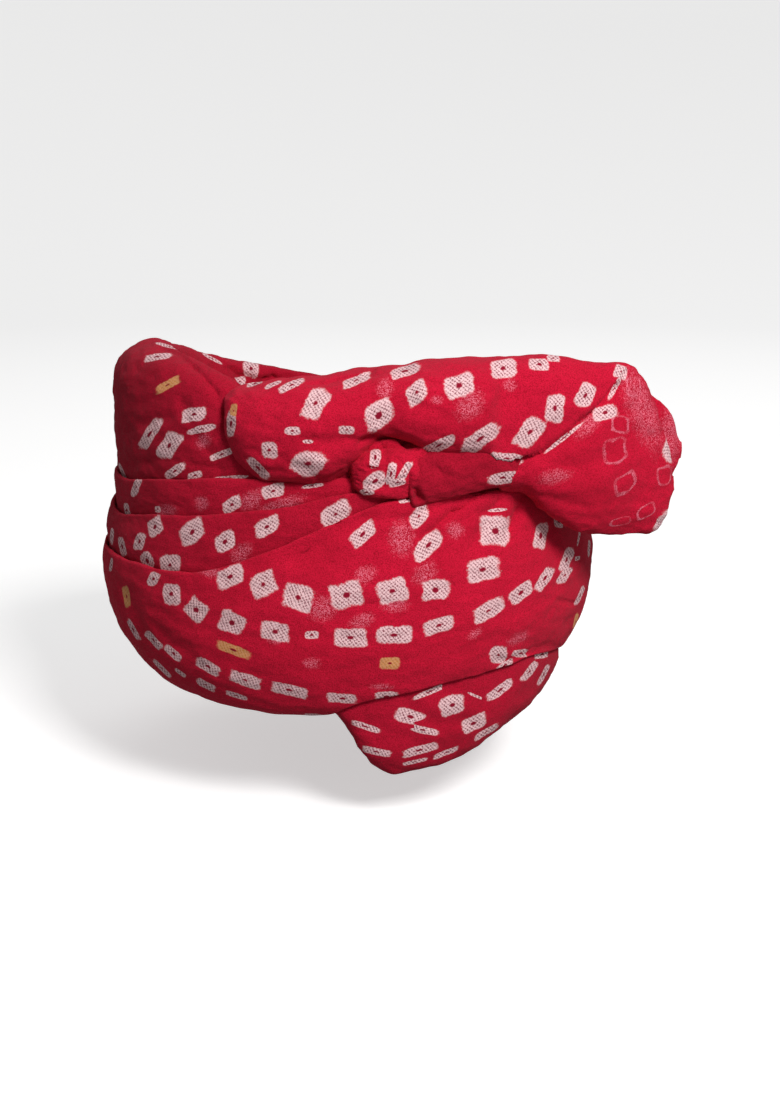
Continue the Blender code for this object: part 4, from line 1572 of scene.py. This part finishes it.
    YELLOW = (
        (415, 975, 104, 30, -20, 3.0), (885, 1015, 60, 36, 0, 3.0), (95, 815, 64, 24, -80, 3.0),
        (1442, 890, 50, 16, 80, 2.5), (217, 180, 84, 28, 24, 4.0), (415, 258, 46, 24, 80, 2.0),
    )
    FADED = (
        (1575, 300, 62, 48, 0, 2.2), (1560, 380, 74, 72, 20, 3.0), (1592, 475, 78, 52, 35, 3.0),
        (1708, 450, 50, 56, 15, 3.0), (1652, 560, 66, 36, 28, 3.0), (1575, 590, 64, 22, 12, 2.4),
        (1615, 185, 50, 56, 10, 2.4),
    )
    HAZE = (
        (920, 640, 90, 120, 0, 2.0), (990, 745, 90, 70, 30, 2.0), (810, 750, 80, 60, 20, 2.0),
        (800, 888, 90, 50, 20, 2.0), (1080, 615, 60, 60, 0, 2.0), (900, 840, 90, 50, 0, 2.0),
        (680, 850, 100, 90, 0, 2.0), (440, 685, 80, 60, 30, 2.0), (550, 545, 190, 46, 18, 2.0),
        (470, 525, 90, 60, 30, 2.0), (320, 535, 50, 50, 0, 2.0), (215, 555, 80, 40, 0, 2.0),
        (325, 350, 60, 46, 20, 2.0), (1125, 240, 110, 90, 30, 2.0), (1245, 180, 50, 44, 0, 2.0),
        (1025, 225, 44, 30, 0, 2.0), (1380, 455, 110, 50, 10, 2.0), (650, 1015, 60, 40, 0, 2.0),
        (860, 1085, 80, 24, 0, 2.0), (345, 740, 80, 40, -10, 2.0), (870, 190, 60, 70, 20, 2.0),
        (1640, 250, 300, 110, -66, 3.0), (1728, 330, 100, 240, -12, 3.0), (1270, 940, 80, 40, 20, 2.0),
        (1140, 925, 60, 30, 30, 2.0), (540, 945, 60, 30, 0, 2.0), (1480, 300, 120, 60, 40, 2.0),
    )


@dataclass
class Spots:
    """Every tied spot, and how it shows on each piece.

    Attributes:
        photograph: The photograph that the chart refers to.
        side: The side of a usual spot in metres.
        pitch: The least distance between scattered spots, in metres.
        turn: How far a scattered spot is turned, as a usual angle in radians.
        across: How wide a scattered spot is, over the usual side, from least to most.
        rise: The same for its height.
        squareness: How square scattered spots are, from least to most.
        yellow: The share of scattered spots that took up the second dye.
        scatter: How many places are tried on a piece, about.
        grip: How squarely a face has to lie to a spot to take part of it.
        thickness: How far from a spot's plane a face may lie, in metres.
        near: How far from a spot its place on the cloth is stored, over its larger half size.
        margin: How much further than that, in metres.
        corners: How much squarer a charted spot is drawn than its row says.
        stretch: How far a spot may spread, over its larger half size.
        upright: How upright a slanted spot's other pair of sides stands.
        turned: How squarely cloth may face the camera and still be scattered with spots.
        flat: How squarely cloth faces up or down where it counts as top or underside.
        ring_power: How square a faded spot's ring is: 2 is an oval.
        brow: Wound wraps are scattered only behind this Y, or on the underside below the hem.
        hem: How low that is.
        seed: Seed for the spots' small differences.
        lofts: The pieces.
        found: Each piece's tied spots.
        faded: Its faded ones.
        haze: Its patches of bled dye.
    """

    photograph: Photograph
    side: float = 0.0138
    pitch: float = 0.0225
    turn: float = 0.35
    across: Pair = (0.85, 1.10)
    rise: Pair = (0.75, 0.95)
    squareness: Pair = (2.4, 4.0)
    yellow: float = 0.04
    scatter: int = 4000
    grip: float = 0.45
    thickness: float = 0.012
    near: float = 2.0
    margin: float = 0.003
    corners: float = 1.7
    stretch: float = 1.7
    upright: float = 0.45
    turned: float = -0.15
    flat: float = 0.5
    ring_power: int = 4
    brow: float = -0.03
    hem: float = -0.09
    seed: int = 7
    lofts: list[Loft] = field(default_factory=list)
    found: dict[str, list[Spot]] = field(default_factory=dict)
    faded: dict[str, list[Spot]] = field(default_factory=dict)
    haze: dict[str, list[Spot]] = field(default_factory=dict)

    # What is stored where no spot is near: a place well outside any.
    FAR = 3.0
    # The power that is stored there: an oval's.
    PLAIN = 2.0
    # Cloth that slopes less than this, as a sine, has its spots laid out along X.
    LEVEL = 0.2
    WOUND = ("belly_wrap_cloth", "middle_wrap_cloth", "upper_wrap_cloth")

    def __post_init__(self) -> None:
        """Starts the random draws."""
        self.chance = np.random.default_rng(self.seed)

    def add(self, loft: Loft) -> None:
        """Takes in a piece, so that spots can lie on it."""
        self.lofts.append(loft)
        for book in (self.found, self.faded, self.haze):
            book[loft.name] = []

    def usual(self, centre: np.ndarray, normal: np.ndarray) -> Spot:
        """A spot of the usual size lying flat on the cloth, with its own small differences.

        Args:
            centre: Its place on the cloth.
            normal: The cloth's outward normal there.

        Returns:
            The spot.
        """
        flat = np.cross((0.0, 0.0, 1.0), normal)
        if np.linalg.norm(flat) < self.LEVEL:
            flat = np.cross((0.0, 1.0, 0.0), normal)
        flat /= np.linalg.norm(flat)
        rise = np.cross(normal, flat)
        turn = self.chance.normal(0.0, self.turn)
        along = flat * math.cos(turn) + rise * math.sin(turn)
        across = rise * math.cos(turn) - flat * math.sin(turn)
        wide = self.side / 2 * self.chance.uniform(*self.across)
        tall = self.side / 2 * self.chance.uniform(*self.rise)
        dye = Dye.YELLOW if self.chance.random() < self.yellow else Dye.WHITE
        power = self.chance.uniform(*self.squareness)
        return Spot(centre, normal, along, across, (wide, tall), power, dye)

    def charted(self, row: tuple, centre: np.ndarray, normal: np.ndarray, dye: Dye) -> Spot:
        """A spot that shows as a row of the chart says.

        Args:
            row: The chart's row.
            centre: Where its centre meets the cloth.
            normal: The cloth's outward normal there.
            dye: What it took up.

        Returns:
            The spot.
        """
        _, _, wide, tall, turn, power = row
        photo = self.photograph
        scale = (centre - photo.eye) @ photo.forward / photo.focal_px / photo.chart_zoom
        rise = turn + 90.0
        if 0 < turn <= 45:
            rise = 90.0 + turn * (1 - self.upright)
        elif turn > 45:
            rise = (turn - 90.0) * (1 - self.upright)
        along, across = (
            np.array([math.cos(angle), 0.0, 0.0]) + photo.upward * math.sin(angle)
            for angle in (math.radians(turn), math.radians(rise))
        )
        plane = np.cross(along, across)
        span = plane @ plane
        measures = np.cross(across, plane) / span, np.cross(plane, along) / span
        half = wide * scale / 2, tall * scale / 2
        return Spot(centre, normal, *measures, half, power * self.corners, dye)

    def read_chart(self) -> int:
        """Casts the charted spots from the camera onto the pieces.

        Returns:
            How many charted spots met a piece.
        """
        trees = [
            BVHTree.FromPolygons(loft.points.reshape(-1, 3).tolist(), loft.quads().tolist())
            for loft in self.lofts
        ]
        chart = SpotChart
        white = chart.BELLY + chart.LOBE + chart.BANDS + chart.CREST + chart.BOW + chart.KNOT
        eye = Vector(self.photograph.eye)
        met = 0
        for book, rows, dye in (
            (self.found, white, Dye.WHITE),
            (self.found, chart.YELLOW, Dye.YELLOW),
            (self.faded, chart.FADED, Dye.WHITE),
            (self.haze, chart.HAZE, Dye.WHITE),
        ):
            for row in rows:
                ray = Vector(self.photograph.ray(self.photograph.charted(*row[:2])))
                hits = [(*tree.ray_cast(eye, ray), loft) for tree, loft in zip(trees, self.lofts)]
                hits = [hit for hit in hits if hit[0] is not None]
                if not hits:
                    continue
                centre, normal, _, _, loft = min(hits, key=lambda hit: hit[3])
                outward = np.array(normal) * (-1 if normal.dot(ray) > 0 else 1)
                book[loft.name].append(self.charted(row, np.array(centre), outward, dye))
                met += 1
        return met

    def fill(self, loft: Loft) -> None:
        """Scatters spots where the photograph doesn't show the piece."""
        normals = loft.normals()
        hidden = loft.towards(self.photograph.eye) < self.turned
        if loft.name == "crown_cloth":
            hidden = normals[:, :, 2] > self.flat
        if loft.name in self.WOUND:
            underside = (normals[:, :, 2] < -self.flat) & (loft.points[:, :, 2] < self.hem)
            hidden &= (loft.points[:, :, 1] > self.brow) | underside
        places = loft.points[hidden]
        facings = normals[hidden]
        order = self.chance.permutation(len(places))
        taken = [spot.centre for spot in self.found[loft.name]]
        for k in order[:: max(1, len(order) // self.scatter)]:
            gap = np.linalg.norm(np.array(taken) - places[k], axis=1).min() if taken else math.inf
            if gap > self.pitch:
                taken.append(places[k])
                self.found[loft.name].append(self.usual(places[k], facings[k]))

    def nearest(self, loft: Loft, spots: list[Spot]) -> tuple[np.ndarray, np.ndarray, np.ndarray]:
        """How each face's corners lie to the face's nearest spot.

        Args:
            loft: The piece.
            spots: The spots on it.

        Returns:
            Place along and across the spot over its half sizes, and the distance from its centre
            over the furthest that it may spread; the spot's power and half sizes; and how yellow
            it is. Each has one row for each corner of each face.
        """
        faces = loft.quads()
        points = loft.points.reshape(-1, 3)[faces]
        normals = loft.normals().reshape(-1, 3)[faces].mean(axis=1)
        centres = points.mean(axis=1)
        best = np.full((len(faces), 4, 3), self.FAR)
        least = np.full(len(faces), self.FAR)
        form = np.full((len(faces), 4, 3), self.PLAIN)
        tint = np.zeros((len(faces), 4))
        for spot in spots:
            away = centres - spot.centre
            close = np.flatnonzero(np.abs(away).max(axis=1) < self.near * max(spot.half) + self.margin)
            close = close[normals[close] @ spot.normal > self.grip]
            close = close[np.abs(away[close] @ spot.normal) < self.thickness]
            corners = points[close] - spot.centre
            a = corners @ spot.along / spot.half[0]
            b = corners @ spot.across / spot.half[1]
            reach = (np.abs(a) ** spot.power + np.abs(b) ** spot.power) ** (1 / spot.power)
            nearer = reach.min(axis=1) < least[close]
            chosen = close[nearer]
            least[chosen] = reach.min(axis=1)[nearer]
            spread = np.linalg.norm(corners, axis=2) / (self.stretch * max(spot.half))
            best[chosen] = np.stack([a, b, spread], axis=2)[nearer]
            form[chosen] = (spot.power, *spot.half)
            tint[chosen] = spot.dye.value
        return best.reshape(-1, 3), form.reshape(-1, 3), tint.reshape(-1)

    def mark(self, loft: Loft, piece: bpy.types.Object) -> None:
        """Stores the spots on a piece's face corners, for its material.

        Args:
            loft: The piece's points.
            piece: The piece.
        """
        best, form, tint = self.nearest(loft, self.found[loft.name])
        rings = self.nearest(loft, self.faded[loft.name])[0]
        haze = self.nearest(loft, self.haze[loft.name])[0]
        square = (rings[:, 0] ** self.ring_power + rings[:, 1] ** self.ring_power) ** (1 / self.ring_power)
        dye = np.stack([tint, np.hypot(haze[:, 0], haze[:, 1]), square], axis=1)
        for name, values in (("spot", best), ("form", form), ("dye", dye)):
            stored = np.full((len(piece.data.loops), 3), self.FAR, dtype=np.float32)
            stored[: len(values)] = values
            layer = piece.data.attributes.new(name, "FLOAT_VECTOR", "CORNER")
            layer.data.foreach_set("vector", stored.ravel())


@dataclass(frozen=True)
class Lamp:
    """A soft square lamp that points at the pagri.

    Attributes:
        name: Its name.
        place: Where it hangs.
        size: The side of its square in metres.
        watts: Its power.
        tint: Its colour.
        aim: What it points at.
    """

    name: str
    place: Triple
    size: float
    watts: float
    tint: Triple = (1.0, 1.0, 1.0)
    aim: Triple = (0.02, 0.0, -0.05)

    def hang(self) -> None:
        """Adds the lamp to the scene."""
        data = bpy.data.lights.new(self.name, "AREA")
        data.size = self.size
        data.energy = self.watts
        data.color = self.tint
        lamp = put_in_scene(self.name, data)
        lamp.location = self.place
        line = Vector(self.aim) - Vector(self.place)
        lamp.rotation_euler = line.to_track_quat("-Z", "Y").to_euler()


@dataclass(frozen=True)
class Studio:
    """A pale sweep and soft light, brightest from the upper right.

    Attributes:
        floor_level: How high the floor lies.
        floor_radius: How far the flat floor reaches.
        bend_radius: The radius of the bend from the floor into the wall.
        wall_top: How high the wall reaches.
        bend_rows: How many rows of points the bend has.
        sides: How many sections go round.
        tone: The floor's colour.
        roughness: Its roughness.
        glow: How strongly it shines by itself.
        sky: The sky's colour.
        sky_strength: How bright the sky is.
        lamps: The lamps.
    """

    floor_level: float = -0.165
    floor_radius: float = 1.6
    bend_radius: float = 1.2
    wall_top: float = 4.0
    bend_rows: int = 24
    sides: int = 96
    tone: Triple = (0.70, 0.70, 0.70)
    roughness: float = 0.9
    glow: float = 0.75
    sky: Triple = (1.0, 1.0, 1.0)
    sky_strength: float = 0.24
    lamps: tuple[Lamp, ...] = (
        Lamp("key", (0.62, -1.30, 1.10), 0.45, 33.0, (1.0, 0.99, 0.98)),
        Lamp("fill", (0.6, -1.5, 0.05), 1.0, 1.2, (0.98, 0.98, 1.0)),
        Lamp("back", (0.3, 1.0, 1.3), 1.0, 6.0),
    )

    def sweep(self) -> bpy.types.Object:
        """A round floor that curves up into a wall all round the pagri.

        Returns:
            The floor, which casts no light of its own onto the cloth.
        """
        line = [(0.0, self.floor_level)]
        for turn in np.linspace(0, math.pi / 2, self.bend_rows):
            reach = self.floor_radius + self.bend_radius * math.sin(turn)
            line.append((reach, self.floor_level + self.bend_radius * (1 - math.cos(turn))))
        line.append((self.floor_radius + self.bend_radius, self.wall_top))
        count = len(line)
        turns = np.linspace(0, 2 * math.pi, self.sides, endpoint=False)
        verts = [(r * math.sin(t), -r * math.cos(t), z) for t in turns for r, z in line]
        faces = []
        for near in range(self.sides):
            far = (near + 1) % self.sides
            for k in range(count - 1):
                low, high = near * count + k, far * count + k
                faces.append((low, low + 1, high + 1, high))
        data = bpy.data.meshes.new("sweep")
        data.from_pydata(verts, [], faces)
        data.shade_smooth()
        sweep = put_in_scene("sweep", data)
        sweep.visible_diffuse = False
        sweep.visible_glossy = False
        paint = Recipe("pale floor")
        paint.feed("Base Color", (*self.tone, 1.0))
        paint.feed("Roughness", self.roughness)
        paint.feed("Emission Color", (*self.tone, 1.0))
        paint.feed("Emission Strength", self.glow)
        data.materials.append(paint.material)
        return sweep

    def build(self) -> None:
        """Adds the sweep, the lamps and the sky."""
        self.sweep()
        for lamp in self.lamps:
            lamp.hang()
        world = bpy.data.worlds.new("studio")
        world.use_nodes = True
        sky = world.node_tree.nodes["Background"]
        sky.inputs["Color"].default_value = (*self.sky, 1.0)
        sky.inputs["Strength"].default_value = self.sky_strength
        bpy.context.scene.world = world


@dataclass(frozen=True)
class Dress:
    """How one piece is finished.

    Attributes:
        fill: The share of its solid that is cloth.
        strength: How much of the red's full brightness it has; below 1 it is partly the piece's own tone and
            partly painted shade.
        uneven: How deep its small unevenness is, in metres.
        pitch: The size of that unevenness, in metres.
        scattered: Whether spots go on where the photograph doesn't show it.
    """

    fill: float
    strength: float = 1.0
    uneven: float = 0.0
    pitch: float = 0.020
    scattered: bool = True


class Pagri:
    """The whole tied turban."""

    # Each piece's finish. The place of a piece in this list is the seed of its unevenness.
    # A strength below 1 is partly the piece's own tone and partly painted shade: the crest and the pocket
    # fold, which lie in shade, are darkest.
    DRESS = {
        "belly_wrap": Dress(0.6, uneven=0.0007, pitch=0.028),
        "crest_wrap": Dress(0.5, 0.74, 0.0009, 0.024),
        "middle_wrap": Dress(0.5, 0.84, 0.0005),
        "upper_wrap": Dress(0.5, 0.86, 0.0005),
        "first_turn": Dress(0.5, 0.84, 0.0008, 0.022),
        "bow": Dress(0.5, uneven=0.0009),
        "knot": Dress(0.7, uneven=0.0006, pitch=0.009, scattered=False),
        "pocket_fold": Dress(0.4, 0.70, 0.0006, 0.010, scattered=False),
        "back_loop": Dress(0.3, uneven=0.0006, pitch=0.016),
        "crown": Dress(0.3, 0.80),
        "inner_band": Dress(0.5, 0.80, scattered=False),
    }
    # How much flatter than wide the unevenness is, its finer layers, and how much of it goes inwards.
    FLATNESS = 2.2
    LAYERS = 3
    INWARDS = 0.3

    # Fold lines of each piece, in the order in which they are pressed in.
    FOLDS = {
        "crest_wrap": (
            Crease(((180, 49), (262, 82), (330, 150), (382, 218)), 3.0, 0.0018, 0.7),
            Crease(((60, 330), (160, 290), (300, 250), (380, 250)), 6.0, 0.0009),
            Crease(((250, 200), (300, 330), (390, 440)), 5.0, 0.0010, 0.3),
            Crease(((395, 205), (430, 212), (495, 190), (520, 150)), 2.6, 0.0016, 0.6),
            Crease(((400, 118), (440, 150), (500, 160), (560, 150)), 2.8, 0.0022, 0.5),
            Crease(((400, 200), (450, 205), (520, 190), (600, 170)), 2.6, 0.0024, 0.6),
            Crease(((470, 150), (490, 175), (480, 200)), 2.2, 0.0016, 0.4),
            Crease(((530, 140), (545, 165), (525, 190)), 2.2, 0.0014, 0.4),
            Crease(((420, 170), (440, 185), (460, 195)), 2.0, 0.0012),
            Crease(((385, 235), (400, 290), (388, 330)), 3.0, 0.0030, 0.3),
            Crease(((60, 420), (200, 400), (400, 430)), 5.0, 0.0009, 0.3),
        ),
        "bow": (
            Crease(((620, 175), (690, 168), (760, 152), (850, 130)), 3.0, 0.0012, 0.6),
            Crease(((600, 352), (680, 345), (760, 340), (850, 345)), 6.0, 0.0014, 0.3),
            Crease(((440, 470), (560, 470), (652, 488), (750, 428)), 3.0, 0.0012, 0.5),
            Crease(
                ((1130, 400), (1190, 412), (1270, 408), (1350, 378), (1455, 292), (1530, 225), (1575, 160)),
                4.0,
                0.0042,
                1.0,
            ),
            Crease(((1342, 315), (1346, 375)), 2.4, 0.0009),
            Crease(((1600, 110), (1640, 215), (1655, 300), (1700, 410)), 2.4, 0.0008, 0.7),
            Crease(((1190, 436), (1240, 428), (1300, 432)), 2.6, 0.0014, 0.5),
            Crease(((1250, 480), (1380, 520), (1520, 560)), 6.0, 0.0010, 0.3),
            Crease(((1330, 430), (1460, 420), (1600, 350)), 8.0, 0.0012),
            Crease(((700, 470), (640, 440), (560, 420)), 6.0, 0.0009),
            Crease(((780, 352), (840, 342), (900, 350), (960, 376)), 3.2, 0.0030, 0.3),
            Crease(((1230, 300), (1330, 250), (1430, 160)), 7.0, 0.0008),
            Crease(((900, 240), (1010, 262), (1120, 300)), 7.0, 0.0008),
        ),
        "belly_wrap": (
            Crease(((1150, 515), (1060, 580), (1000, 640)), 2.6, 0.0030, 0.7),
            Crease(((1285, 535), (1270, 585), (1252, 630)), 2.8, 0.0034, 0.6),
            Crease(((1140, 512), (1090, 535), (1010, 555), (900, 600)), 4.0, 0.0018, 0.4),
            Crease(((1230, 510), (1200, 560), (1140, 580)), 3.0, 0.0016, 0.5),
            Crease(((1210, 540), (1150, 640), (1120, 700)), 7.0, 0.0012),
            Crease(((860, 560), (700, 640), (560, 740)), 8.0, 0.0012),
            Crease(((1380, 825), (1450, 840)), 2.4, 0.0010),
            Crease(((1350, 590), (1390, 700), (1400, 820)), 7.0, 0.0010),
            Crease(((150, 870), (220, 950), (330, 1010)), 7.0, 0.0009),
            Crease(((80, 760), (120, 880), (180, 980)), 6.0, 0.0009),
            Crease(((1180, 1000), (1250, 1010), (1400, 950)), 5.0, 0.0011),
        ),
        "first_turn": (
            Crease(((1050, 1080), (1161, 1119)), 3.0, 0.0016, 0.4),
            Crease(((900, 1130), (1020, 1190), (1180, 1200)), 6.0, 0.0011),
            Crease(((780, 1180), (880, 1220), (1000, 1250)), 6.0, 0.0010),
        ),
        "knot": (
            Crease(((770, 352), (850, 345), (920, 350), (990, 372)), 8.0, 0.0060),
            Crease(((862, 355), (876, 400), (874, 450), (866, 505)), 2.8, 0.0018, 0.4),
            Crease(((900, 385), (945, 430), (958, 505)), 3.4, 0.0016, 0.5),
            Crease(((805, 420), (830, 435), (862, 430)), 2.4, 0.0010),
            Crease(((960, 395), (990, 420), (975, 480)), 4.0, 0.0012),
        ),
        "pocket_fold": (
            Crease(((955, 480), (966, 512), (988, 548)), 4.0, 0.0040),
            Crease(((1012, 400), (1035, 430), (1060, 470)), 4.0, 0.0012, 0.6),
        ),
    }
    # Swellings and hollows of the bow.
    BOW_MOUNDS = (
        Mound(910, 300, 22, 0.0015),
        Mound(1290, 430, 16, 0.0015),
        Mound(1560, 430, 40, 0.0020),
        Mound(680, 300, 40, 0.0015),
        Mound(1420, 180, 30, 0.0015),
        Mound(1300, 560, 10, -0.0030),
    )

    def __init__(self) -> None:
        """Models every piece's points."""
        self.photograph = Photograph()
        self.relief = Relief(self.photograph)
        self.spots = Spots(self.photograph)
        self.wraps = Wraps(Sizes(), WrapFaces())
        self.lofts: dict[str, Loft] = {name: self.wraps.loft(name) for name in self.wraps.outlines}
        crown, bow = Crown(self.wraps), Bow()
        self.lofts["crown"] = crown.cap()
        self.lofts["inner_band"] = crown.band()
        self.lofts["bow"] = bow.loft()
        self.lofts["back_loop"] = bow.loop()
        self.lofts["knot"] = Knot().loft(self.wraps)
        self.lofts["pocket_fold"] = Fold().loft(self.wraps)

    def crumple(self) -> None:
        """Presses the charted folds in and gives the cloth its small unevenness."""
        for name, folds in self.FOLDS.items():
            for fold in folds:
                self.relief.crease(self.lofts[name], fold)
        for mound in self.BOW_MOUNDS:
            self.relief.swell(self.lofts["bow"], mound)
        for seed, (name, dress) in enumerate(self.DRESS.items()):
            if not dress.uneven:
                continue
            loft = self.lofts[name]
            stretched = loft.points * (1.0, 1.0, self.FLATNESS)
            uneven = dress.uneven * (ripple(stretched, dress.pitch, self.LAYERS, float(seed)) - self.INWARDS)
            if name in self.wraps.outlines:
                uneven = uneven * self.wraps.loose(name, loft)
            loft.push(uneven)

    def mark_spots(self) -> None:
        """Lays the charted spots on the pieces and scatters more where the photograph shows none."""
        for loft in self.lofts.values():
            self.spots.add(loft)
        LOG.info("charted spots on the cloth: %d", self.spots.read_chart())
        for name, loft in self.lofts.items():
            if self.DRESS[name].scattered:
                self.spots.fill(loft)

    def build(self) -> None:
        """Makes every piece, dresses it and ties it to the frame."""
        for name, loft in self.lofts.items():
            dress = self.DRESS[name]
            piece = loft.build()
            self.spots.mark(loft, piece)
            piece.data.materials.append(Georgette(name + " georgette", dress.strength).make())
            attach(piece, "root")
            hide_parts(name)
            name + "_cloth"
            LOG.info("%s: %d faces", piece.name, len(piece.data.polygons))


def main() -> None:
    """Builds the pagri's looks and the studio round them."""
    logging.basicConfig(level=logging.INFO, format="%(message)s")
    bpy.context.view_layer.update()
    pagri = Pagri()
    pagri.photograph.place_camera()
    pagri.crumple()
    pagri.mark_spots()
    pagri.build()
    Studio().build()
    bpy.context.scene.view_settings.view_transform = "Standard"


if __name__ == "__main__":
    main()
